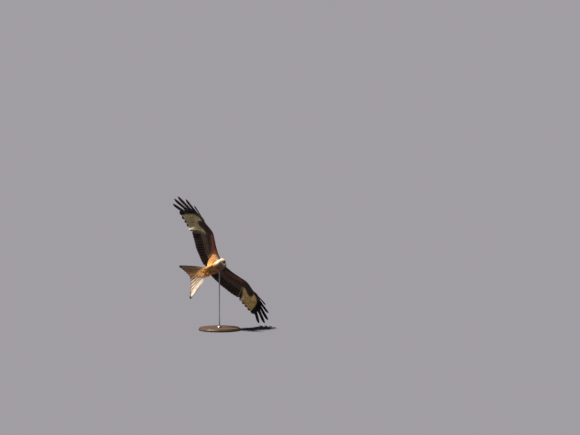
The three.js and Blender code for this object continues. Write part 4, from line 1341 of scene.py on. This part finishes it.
def makeLesserCoverts(name, pose):
    random = np.random.default_rng(43 + (name == "left"))
    coat = newCoat()
    keep = lambda points, normals: (
        (regionOf(points) == "wing") & (points[:, 1] * pose["side"] > 0) & (normals[:, 0] > -0.45) & ~inCorner(points)
    )
    sizeAt = lambda points: mix(5.6, 3.6, smooth(np.abs(points[:, 1]), 80, 330))
    roots, normals = scatterRoots(random, 20000, sizeAt, keep)
    edge = [edgeRoots(pose, step, sign) for step in (0.5, 3.5) for sign in (-1, 1)]
    roots = np.concatenate([roots] + [found[0] for found in edge])
    normals = np.concatenate([normals] + [found[1] for found in edge])
    out = smooth(np.abs(roots[:, 1]), 80, 330)
    length = mix(22, 13, out)
    a, b = wingPlan(roots, pose)
    cling = mix(0.12, 1.0, smooth(a - along(wing["boneEdge"], b), 6, 22))
    addSkinVanes(coat, roots, normals, wingCoat, random, length, 0.27 * length, mix(2.6, 1.6, out), cling)
    return finishCoat(coat, "lesserCoverts" + name.title(), featherMaterials["covert"], "wing_feathers")


makeHeadFeathers()
makeBodyFeathers()
for name, pose in wingPose.items():
    makeLesserCoverts(name, pose)
print("small feathers done")


# Tail coverts, above and below the roots of the tail feathers
tailCoverts = [
    {"layer": 1, "reach": 96, "raise": 4.2, "rootRaise": 8, "from": 0},
    {"layer": 1, "reach": 66, "raise": 6.6, "rootRaise": 11, "from": 12},
    {"layer": 1, "reach": 38, "raise": 9.0, "rootRaise": 13, "from": 24},
    {"layer": -1, "reach": 176, "raise": 3.2, "rootRaise": 8, "from": -10, "wide": 26},
    {"layer": -1, "reach": 138, "raise": 5.4, "rootRaise": 10, "from": 0, "wide": 34},
    {"layer": -1, "reach": 104, "raise": 8.0, "rootRaise": 13, "from": 12},
    {"layer": -1, "reach": 70, "raise": 11, "rootRaise": 17, "from": 24},
]


def makeTailCoverts():
    random = np.random.default_rng(51)
    coat = newCoat()
    count = 8
    share = (np.arange(count) + 0.5) / count
    for row in tailCoverts:
        for side in (-1, 1):
            jitter = random.uniform(-1, 1, (2, count))
            reach = row["reach"] * (1 - 0.25 * share) + 4 * jitter[0]
            roots = np.stack([tail["rootX"] + row["from"] + 0 * share, side * (1 + 15 * share)], 1)
            wide = row.get("wide", 36 * row["reach"] / 110)
            tips = np.stack([tail["rootX"] - reach, side * (4 + wide * share + jitter[1])], 1)
            spec = {
                "columns": 7, "round": 0.3, "ragged": 0.05, "thick": 0.8, "cup": 0.5 * row["layer"], "mirror": side,
                "raise": row["layer"] * row["raise"], "rootRaise": row["layer"] * row["rootRaise"],
            }
            web = np.tile(webWidth(covertStations, 8, 3, 0.4, 0.6), (count, 1))
            points, p, q, T = planVanes(tailPoint, roots, tips, web, web * 1.2, covertStations, spec, random)
            ground = colours["vent"] if row["layer"] < 0 else colours["rump"]
            tone = random.uniform(0.85, 1.15, count)[:, None, None, None]
            ground = tint(ground * tone, colours["tailUnder"], 0.12 * T * (row["layer"] < 0))
            # painted shade: the middle of the under tail coverts, between the legs, is darkened with the armpit's shade
            # colour
            gap = 0.85 * smooth(np.abs(q), 12, 4) * smooth(p, -250, -200) * (row["layer"] < 0)
            ground = tint(ground, colours["axillaShade"], gap)
            addVanes(coat, points, ground, (0.5, 0.3, 0), 7, T, unwrapAt(points[:, 0, 0]))
    return finishCoat(coat, "tailCoverts", featherMaterials["body"], "tail_feathers")


makeTailCoverts()


def skinMaterial():
    """Down and feather bases between the small feathers"""
    material, tree, shader = newMaterial("skinPlumage", 0.8)
    place = node(tree, "ShaderNodeTexCoord").outputs["Object"]
    fluff = noiseNode(tree, place, 420.0)
    grey = node(tree, "ShaderNodeCombineColor")
    for socket in grey.inputs:
        tree.links.new(rangeNode(tree, fluff, 0.3, 0.7, 0.7, 1.15), socket)
    colour = mixNode(tree, "MULTIPLY", 1.0, attributeNode(tree, "ground").outputs["Color"], grey.outputs[0])
    tree.links.new(colour, shader.inputs["Base Color"])
    bump = node(tree, "ShaderNodeBump")
    bump.inputs["Strength"].default_value = 0.5
    bump.inputs["Distance"].default_value = 0.0006
    tree.links.new(fluff, bump.inputs["Height"])
    tree.links.new(bump.outputs[0], shader.inputs["Normal"])
    return material


def finishSkin():
    ground, marks = plumageAt(skinPoints, skinNormals)
    setColour(skin.data, "ground", ground)
    placeMesh(skin, birdToStand)
    skin.data.materials.append(skinMaterial())
    return ride(skin, "body_feathers", "torso", "neck", "head", "leg_left", "leg_right")


def placeMesh(piece, matrix):
    piece.data.transform(matrix)
    piece.data.update()


finishSkin()
print("skin done")


# Bill: rows of top forward, top up, low forward, low up and half width, in the head's frame
def shapeOf(mesh, ground):
    """Colours the bare part by its places, in the head's or the bird's frame"""
    setColour(mesh, "ground", ground(coordinates(mesh)))


bill = {
    "base": head["billBase"],
    "cere": (0.80, 0.52, 0.10), "horn": (0.035, 0.035, 0.040), "hornBase": (0.16, 0.15, 0.14), "nostril": (0.05, 0.025, 0.01),
    "nostrilAt": (6.4, 7.3, 1.6), "gape": (0.78, 0.46, 0.10),
}
upperRows = [
    (0, 6.9, 0, -6.2, 7.8), (4, 7.9, 4, -6.5, 7.7), (8.6, 7.9, 8.8, -6.8, 6.9), (10.2, 7.2, 10.2, -6.9, 6.4),
    (16, 6.1, 16, -7.3, 5.4), (22, 3, 21, -8.1, 4.4), (27.5, -2.2, 25, -10.4, 3.1), (30.3, -8.6, 28, -13.6, 1.9),
    (30.8, -14, 29.8, -16.4, 1), (30.2, -18, 30, -18.3, 0.35),
]
lowerRows = [
    (0, -6.6, 0, -11.8, 7), (8, -7.2, 8, -12.2, 6.2), (15, -7.6, 14.5, -11.8, 5), (20.5, -8.5, 19, -11.1, 3.4),
    (23.2, -9.9, 22.6, -10.8, 1.6),
]


def billRings(rows, count, flatSide, sides=40):
    rings = []
    turn = 2 * np.pi * (np.arange(sides) + 0.5) / sides
    c, v = np.cos(turn), np.sin(turn)
    flat = v * flatSide > 0
    rise = (1 + np.sign(v) * np.abs(v) ** np.where(flat, 0.2, 0.85)) / 2
    across = np.sign(c) * np.abs(c) ** np.where(flat, 0.5, 0.85)
    for topF, topU, lowF, lowU, half in curvePoints(rows, count):
        forward = bill["base"] + mix(lowF, topF, rise)
        rings.append(np.stack([forward, half * across, mix(lowU, topU, rise)], 1))
    return rings


def makeBill():
    upper = loft("billUpper", billRings(upperRows, 40, -1))
    forward, left, up = bill["nostrilAt"]
    for side in (-1, 1):
        bpy.ops.object.select_all(action="DESELECT")
        bpy.ops.mesh.primitive_uv_sphere_add(segments=24, ring_count=16, radius=1)
        slot = bpy.context.object
        place = Matrix.Translation((bill["base"] + forward, side * left, up)) @ Matrix.Rotation(-0.5, 4, "Y")
        slot.data.transform(place @ Matrix.Diagonal((1.9, 1.6, 1.0, 1)))
        addModifier(upper, "BOOLEAN", operation="DIFFERENCE", solver="EXACT", object=slot)
        bpy.data.objects.remove(slot)
    lower = loft("billLower", billRings(lowerRows, 24, 1))

    def ground(points):
        x = points[:, 0] - bill["base"]
        y, z = np.abs(points[:, 1]), points[:, 2]
        horn = tint(np.array(bill["hornBase"]), np.array(bill["horn"]), smooth(x, 12, 19))
        edge = 9.2 + 1.2 * smooth(z, 4, -6)
        made = tint(np.array(bill["cere"]), horn, smooth(x, edge, edge + 1.4))
        # the nostril dent is painted dark: painted shade in the hole
        hole = np.sqrt((x - forward) ** 2 + (y - left) ** 2 + (z - up) ** 2)
        return tint(made, np.array(bill["nostril"]), smooth(hole, 2.1, 1.6))

    def lowGround(points):
        x = points[:, 0] - bill["base"]
        return tint(np.array(bill["cere"]), np.array(bill["horn"]), smooth(x, 5.5, 12))

    for piece, colour, name in ((upper, ground, "bill_upper"), (lower, lowGround, "bill_lower")):
        smoothByAngle(piece, 40)
        shapeOf(piece.data, colour)
        placeMesh(piece, birdToStand @ headToBird)
        piece.data.materials.append(hornPolished)
        ride(piece, "bill", name)


def makeGape():
    """Yellow lips at the corners of the mouth, parted by its line"""
    lips = []
    for side in (-1, 1):
        line, normals = gapeLine(side)
        along_ = unit(np.gradient(line, axis=0))
        over = np.cross(normals, along_) * side
        for sign in (-1, 1):
            share = np.linspace(0, 1, len(line))
            radius = gape["radius"] * (1 - 0.75 * share**2)
            centre = line + normals * 0.5 + over * (sign * gape["apart"] * (1 - share**3))[:, None]
            stations = [(c, r, r, r) for c, r in zip(centre, radius)]
            lips.append(loft("lip", tubeRings(stations, 10)))
    piece = joinAll(lips, "gape")
    smoothByAngle(piece, 60)
    setColour(piece.data, "ground", np.tile(bill["gape"], (len(piece.data.vertices), 1)))
    placeMesh(piece, birdToStand)
    piece.data.materials.append(hornPolished)
    return ride(piece, "bill")


makeBill()
makeGape()


# Eyes, with their lids
eye = {
    "pupil": 3.6, "iris": 5.4, "irisInner": (0.34, 0.20, 0.055), "irisOuter": (0.13, 0.06, 0.015), "rim": (0.012, 0.010, 0.009),
    "lid": (0.030, 0.024, 0.020), "lidRadius": 6.0, "lidThick": 1.1, "lidAt": 4.7,
}


def makeEye(name, side):
    bpy.ops.object.select_all(action="DESELECT")
    bpy.ops.mesh.primitive_uv_sphere_add(segments=64, ring_count=64, radius=head["eyeRadius"])
    ball = bpy.context.object
    ball.name = "eye" + name.title()
    points = coordinates(ball.data)
    out = np.hypot(points[:, 0], points[:, 1])
    front = points[:, 2] > 0
    bulge = 1 + 0.05 * smooth(out, 5.6, 2.5) * front
    ball.data.vertices.foreach_set("co", (points * bulge[:, None]).astype(np.float32).ravel())
    angle = np.arctan2(points[:, 1], points[:, 0])
    rays = 1 + 0.12 * np.sin(angle * 23) + 0.1 * np.sin(angle * 37 + 1)
    iris = tint(np.array(eye["irisInner"]), np.array(eye["irisOuter"]), smooth(out, eye["pupil"] + 0.6, eye["iris"])) * rays[:, None]
    ground = tint(np.array(eye["rim"]), iris, smooth(out, eye["pupil"], eye["pupil"] + 0.35))
    ground = tint(ground, np.array(eye["rim"]), np.maximum(smooth(out, eye["iris"], eye["iris"] + 0.4), 1 - front))
    setColour(ball.data, "ground", ground)
    bpy.ops.object.shade_smooth()
    placeMesh(ball, birdToStand @ eyeToBird(side))
    ball.data.materials.append(eyeWet)
    return ride(ball, "eye", "eye_" + name)


def makeLids(name, side):
    bpy.ops.object.select_all(action="DESELECT")
    bpy.ops.mesh.primitive_torus_add(
        major_segments=64, minor_segments=16, major_radius=eye["lidRadius"], minor_radius=eye["lidThick"]
    )
    lids = bpy.context.object
    lids.name = "lids" + name.title()
    points = coordinates(lids.data)
    # x runs down the face here, and y along it
    upper = smooth(points[:, 0], 2, -6)
    points[:, 2] += eye["lidAt"] - 0.03 * points[:, 1] ** 2 + 1.5 * upper
    points[:, 0] *= np.where(points[:, 0] < 0, 0.80, 0.90)
    lids.data.vertices.foreach_set("co", points.astype(np.float32).ravel())
    setColour(lids.data, "ground", np.tile(eye["lid"], (len(points), 1)))
    bpy.ops.object.shade_smooth()
    placeMesh(lids, birdToStand @ eyeToBird(side))
    lids.data.materials.append(hornPolished)
    return ride(lids, "head_feathers")


def eyeMaterial():
    material, tree, shader = newMaterial("eyeWet", 0.12, **{"Coat Weight": 1.0, "Coat Roughness": 0.02})
    place = node(tree, "ShaderNodeTexCoord").outputs["Object"]
    shade = rangeNode(tree, noiseNode(tree, place, 900.0), 0.3, 0.7, 0.85, 1.1)
    grey = node(tree, "ShaderNodeCombineColor")
    for socket in grey.inputs:
        tree.links.new(shade, socket)
    colour = mixNode(tree, "MULTIPLY", 1.0, attributeNode(tree, "ground").outputs["Color"], grey.outputs[0])
    tree.links.new(colour, shader.inputs["Base Color"])
    return material


eyeWet = eyeMaterial()
for name, pose in wingPose.items():
    makeEye(name, pose["side"])
    makeLids(name, pose["side"])
print("head done")


# Feet, folded shut under the tail, and their claws
feet = {
    "ankle": (-124, 20, -42), "shank": (-145, 17.5, -43.5), "ball": (-160, 15, -42),
    "toes": [(-7.5, 0.9), (1, 1.15), (9.5, 0.95)], "hindToe": (-157, 9, -55),
    "skin": (0.90, 0.62, 0.050), "crease": (0.30, 0.16, 0.02), "claw": (0.014, 0.012, 0.012), "scute": 2.4,
}


def limbRings(points, radii, scutes, sides=16):
    """A limb round a path, swelling at each scute"""
    count = 40
    path = curvePoints(points, count)
    radius = np.interp(np.linspace(0, 1, count), np.linspace(0, 1, len(radii)), radii)
    length = np.concatenate([[0], np.cumsum(np.linalg.norm(np.diff(path, axis=0), axis=1))])
    swell = 1 + scutes * (np.abs(np.sin(np.pi * length / feet["scute"])) - 0.6)
    return tubeRings([(c, r, r, r) for c, r in zip(path, radius * swell)], sides, 2, (0, 1, 0))


def makeFoot(name, side):
    point = lambda x, y, z: np.array([x, side * y, z], float)
    ball = point(*feet["ball"])
    limbs = [limbRings([point(*feet["ankle"]), point(*feet["shank"]), ball], [5.4, 4.6, 5.2], 0.05)]
    claws = []

    def claw(start, bend, tip):
        claws.append(limbRings([start, start + bend, start + tip], [2.7, 2.1, 0.4], 0, 12))

    for spread, reach in feet["toes"]:
        knuckle = ball + point(-12 * reach, spread, 2)
        end = knuckle + point(-11 * reach, spread * 0.3, -9)
        limbs.append(limbRings([ball, knuckle, end], [4.6, 4.4, 3.3], 0.09))
        claw(end + point(1, 0, 2), point(0, 0, -8), point(8, 0, -13))
    hind = point(*feet["hindToe"])
    limbs.append(limbRings([ball, point(-154, 10, -49), hind], [4.6, 4.2, 3.3], 0.09))
    claw(hind + point(0.5, 0, 1.5), point(-5, 0, -6), point(-13, 1, -6))
    foot = joinAll([loft("limb", rings) for rings in limbs], "foot" + name.title())
    addModifier(foot, "REMESH", mode="VOXEL", voxel_size=0.6)
    addModifier(foot, "SMOOTH", factor=0.4, iterations=1)
    smoothByAngle(foot, 80)
    nails = joinAll([loft("claw", rings) for rings in claws], "claws" + name.title())
    smoothByAngle(nails, 60)
    for piece, colour, material, nodes in ((foot, "skin", footScales, ("foot_" + name,)), (nails, "claw", hornPolished, ())):
        setColour(piece.data, "ground", np.tile(feet[colour], (len(piece.data.vertices), 1)))
        placeMesh(piece, birdToStand)
        piece.data.materials.append(material)
        ride(piece, "foot_skin", *nodes)


for name, pose in wingPose.items():
    makeFoot(name, pose["side"])
print("feet done")


# Stand: a stepped round base of dark wood, a steel collar and a steel rod into the bird's flank
stand = {
    "radius": 0.190, "height": 0.024, "step": 0.008, "rim": 0.006, "taper": 0.003,
    "collarRadius": 0.022, "collarHeight": 0.014, "rodRadius": 0.0055,
}


def selectFaces(test):
    """In edit mode, selects the faces that pass a test on their centre and normal"""
    mesh = bmesh.from_edit_mesh(bpy.context.object.data)
    bpy.ops.mesh.select_all(action="DESELECT")
    for face in mesh.faces:
        if test(face.calc_center_median(), face.normal):
            face.select_set(True)
    bmesh.update_edit_mesh(bpy.context.object.data)


def turnedPiece(name, low, radius, steps, sides, bevel):
    """A round piece turned up from its foot. Each step gives a rise and the new radius."""
    bpy.ops.object.select_all(action="DESELECT")
    rise, _ = steps[0]
    bpy.ops.mesh.primitive_cylinder_add(vertices=sides, radius=radius, depth=rise, location=(0, 0, low + rise / 2))
    piece = bpy.context.object
    piece.name = name
    bpy.ops.object.transform_apply(location=True, rotation=True, scale=True)
    bpy.ops.object.mode_set(mode="EDIT")
    top = low + rise
    now = radius
    for rise, new in steps[1:]:
        selectFaces(lambda centre, normal: normal.z > 0.9 and centre.z > top - 1e-5 and centre.xy.length < 1e-3)
        if rise == 0:
            bpy.ops.mesh.inset(thickness=now - new)
        else:
            bpy.ops.mesh.extrude_region_move(TRANSFORM_OT_translate={"value": (0, 0, rise)})
            bpy.ops.transform.resize(value=(new / now, new / now, 1), center_override=(0, 0, top + rise))
        top += rise
        now = new
    bpy.ops.object.mode_set(mode="OBJECT")
    addModifier(piece, "BEVEL", width=bevel, segments=3, limit_method="ANGLE", angle_limit=math.radians(30))
    smoothByAngle(piece, 35)
    return piece


def woodMaterial():
    """Oiled dark wood, its grain along x"""
    material, tree, shader = newMaterial("darkWood", 0.45, **{"Coat Weight": 0.25, "Coat Roughness": 0.3})
    place = node(tree, "ShaderNodeTexCoord").outputs["Object"]
    stretch = node(tree, "ShaderNodeMapping")
    stretch.inputs["Scale"].default_value = (3.0, 38.0, 20.0)
    tree.links.new(place, stretch.inputs["Vector"])
    grain = noiseNode(tree, stretch.outputs[0], 1.6, 6.0, 0.6)
    rings = node(tree, "ShaderNodeTexWave", bands_direction="Y")
    rings.inputs["Scale"].default_value = 9.0
    rings.inputs["Distortion"].default_value = 7.0
    rings.inputs["Detail"].default_value = 3.0
    tree.links.new(place, rings.inputs["Vector"])
    figure = mathNode(tree, "MULTIPLY_ADD", rings.outputs["Fac"], 0.35, mathNode(tree, "MULTIPLY", grain, 0.75))
    ramp = node(tree, "ShaderNodeValToRGB")
    ramp.color_ramp.elements[0].position = 0.25
    ramp.color_ramp.elements[0].color = (0.020, 0.010, 0.006, 1)
    ramp.color_ramp.elements[1].position = 0.85
    ramp.color_ramp.elements[1].color = (0.125, 0.062, 0.030, 1)
    tree.links.new(figure, ramp.inputs[0])
    tree.links.new(ramp.outputs[0], shader.inputs["Base Color"])
    tree.links.new(rangeNode(tree, grain, 0.3, 0.7, 0.38, 0.58), shader.inputs["Roughness"])
    bump = node(tree, "ShaderNodeBump")
    bump.inputs["Strength"].default_value = 0.25
    bump.inputs["Distance"].default_value = 0.0004
    tree.links.new(grain, bump.inputs["Height"])
    tree.links.new(bump.outputs[0], shader.inputs["Normal"])
    return material


def steelMaterial():
    """Brushed steel, its lines round the rod"""
    material, tree, shader = newMaterial("brushedSteel", 0.3, **{"Metallic": 1.0})
    place = node(tree, "ShaderNodeTexCoord").outputs["Object"]
    stretch = node(tree, "ShaderNodeMapping")
    stretch.inputs["Scale"].default_value = (20.0, 20.0, 900.0)
    tree.links.new(place, stretch.inputs["Vector"])
    lines = noiseNode(tree, stretch.outputs[0], 2.0, 2.0)
    tree.links.new(rangeNode(tree, lines, 0.3, 0.7, 0.28, 0.34), shader.inputs["Roughness"])
    colour = mixNode(tree, "MIX", lines, (0.48, 0.49, 0.51), (0.54, 0.55, 0.57))
    tree.links.new(colour, shader.inputs["Base Color"])
    return material


def makeStand():
    height, step = stand["height"], stand["step"]
    base = turnedPiece("standBase", 0, stand["radius"], [
        (height - step, stand["radius"]), (0, stand["radius"] - stand["rim"]),
        (step, stand["radius"] - stand["rim"] - stand["taper"]),
    ], 144, 0.0012)
    base.data.materials.append(woodMaterial())
    ride(base, "stand_wood", "stand_base")
    steel = steelMaterial()
    low = height + 0.0003
    rise = stand["collarHeight"] / 2
    collar = turnedPiece("standCollar", low, stand["collarRadius"], [
        (rise, stand["collarRadius"]), (rise, stand["collarRadius"] * 0.55), (0, stand["rodRadius"] + 0.001),
        (-0.001, stand["rodRadius"] + 0.0004),
    ], 96, 0.0008)
    top = (attitude["height"] + rodTop.z) * 0.001
    rod = turnedPiece("standRod", low, stand["rodRadius"], [
        (top - low - 0.006, stand["rodRadius"]), (0.006, stand["rodRadius"] * 0.6),
    ], 48, 0.0005)
    for piece, name in ((collar, "stand_collar"), (rod, "stand_rod")):
        piece.data.materials.append(steel)
        ride(piece, "stand_steel", name)


makeStand()
print("stand done")


# Camera at the photograph's angle and framing, level with the horizon line of the picture
camera = {"elevationDeg": 6.0, "distance": 120.0, "frameWidth": 5.2548, "right": 0.631, "up": 0.4225}


def makeCamera():
    bird = birdToStand @ Vector((0, 0, 0))
    e = math.radians(camera["elevationDeg"])
    forward = Vector((0, math.cos(e), -math.sin(e)))
    up = Vector((0, math.sin(e), math.cos(e)))
    target = bird + Vector((camera["right"], 0, 0)) + up * camera["up"]
    data = bpy.data.cameras.new("camera")
    data.sensor_width = 36
    data.lens = 36 * camera["distance"] / camera["frameWidth"]
    data.clip_end = 2000
    made = bpy.data.objects.new("camera", data)
    bpy.context.scene.collection.objects.link(made)
    made.location = target - forward * camera["distance"]
    made.rotation_euler = forward.to_track_quat("-Z", "Y").to_euler()
    bpy.context.scene.camera = made


# Plain pale floor and soft studio light
studio = {
    "floorColour": (0.134, 0.137, 0.168), "sunDirection": (-0.44, 0.07, 0.895), "sun": 9.0, "sunSoftDeg": 9, "sky": 0.09,
}


def makeStudio():
    bpy.ops.mesh.primitive_plane_add(size=1600)
    floor = bpy.context.object
    floor.name = "floor"
    material, tree, shader = newMaterial("floorPaint", 0.9)
    shader.inputs["Base Color"].default_value = (*studio["floorColour"], 1)
    shader.inputs["Specular IOR Level"].default_value = 0.0
    floor.data.materials.append(material)
    direction = Vector(studio["sunDirection"])
    bpy.ops.object.light_add(type="SUN", location=direction * 5, rotation=direction.to_track_quat("Z", "Y").to_euler())
    sun = bpy.context.object.data
    sun.energy = studio["sun"]
    sun.angle = math.radians(studio["sunSoftDeg"])
    sun.color = (1.0, 0.93, 0.82)
    world = bpy.data.worlds.new("studio")
    bpy.context.scene.world = world
    world.use_nodes = True
    background = world.node_tree.nodes["Background"]
    background.inputs[0].default_value = (0.93, 0.96, 1.0, 1)
    background.inputs[1].default_value = studio["sky"]


makeCamera()
makeStudio()
print("camera and studio done")
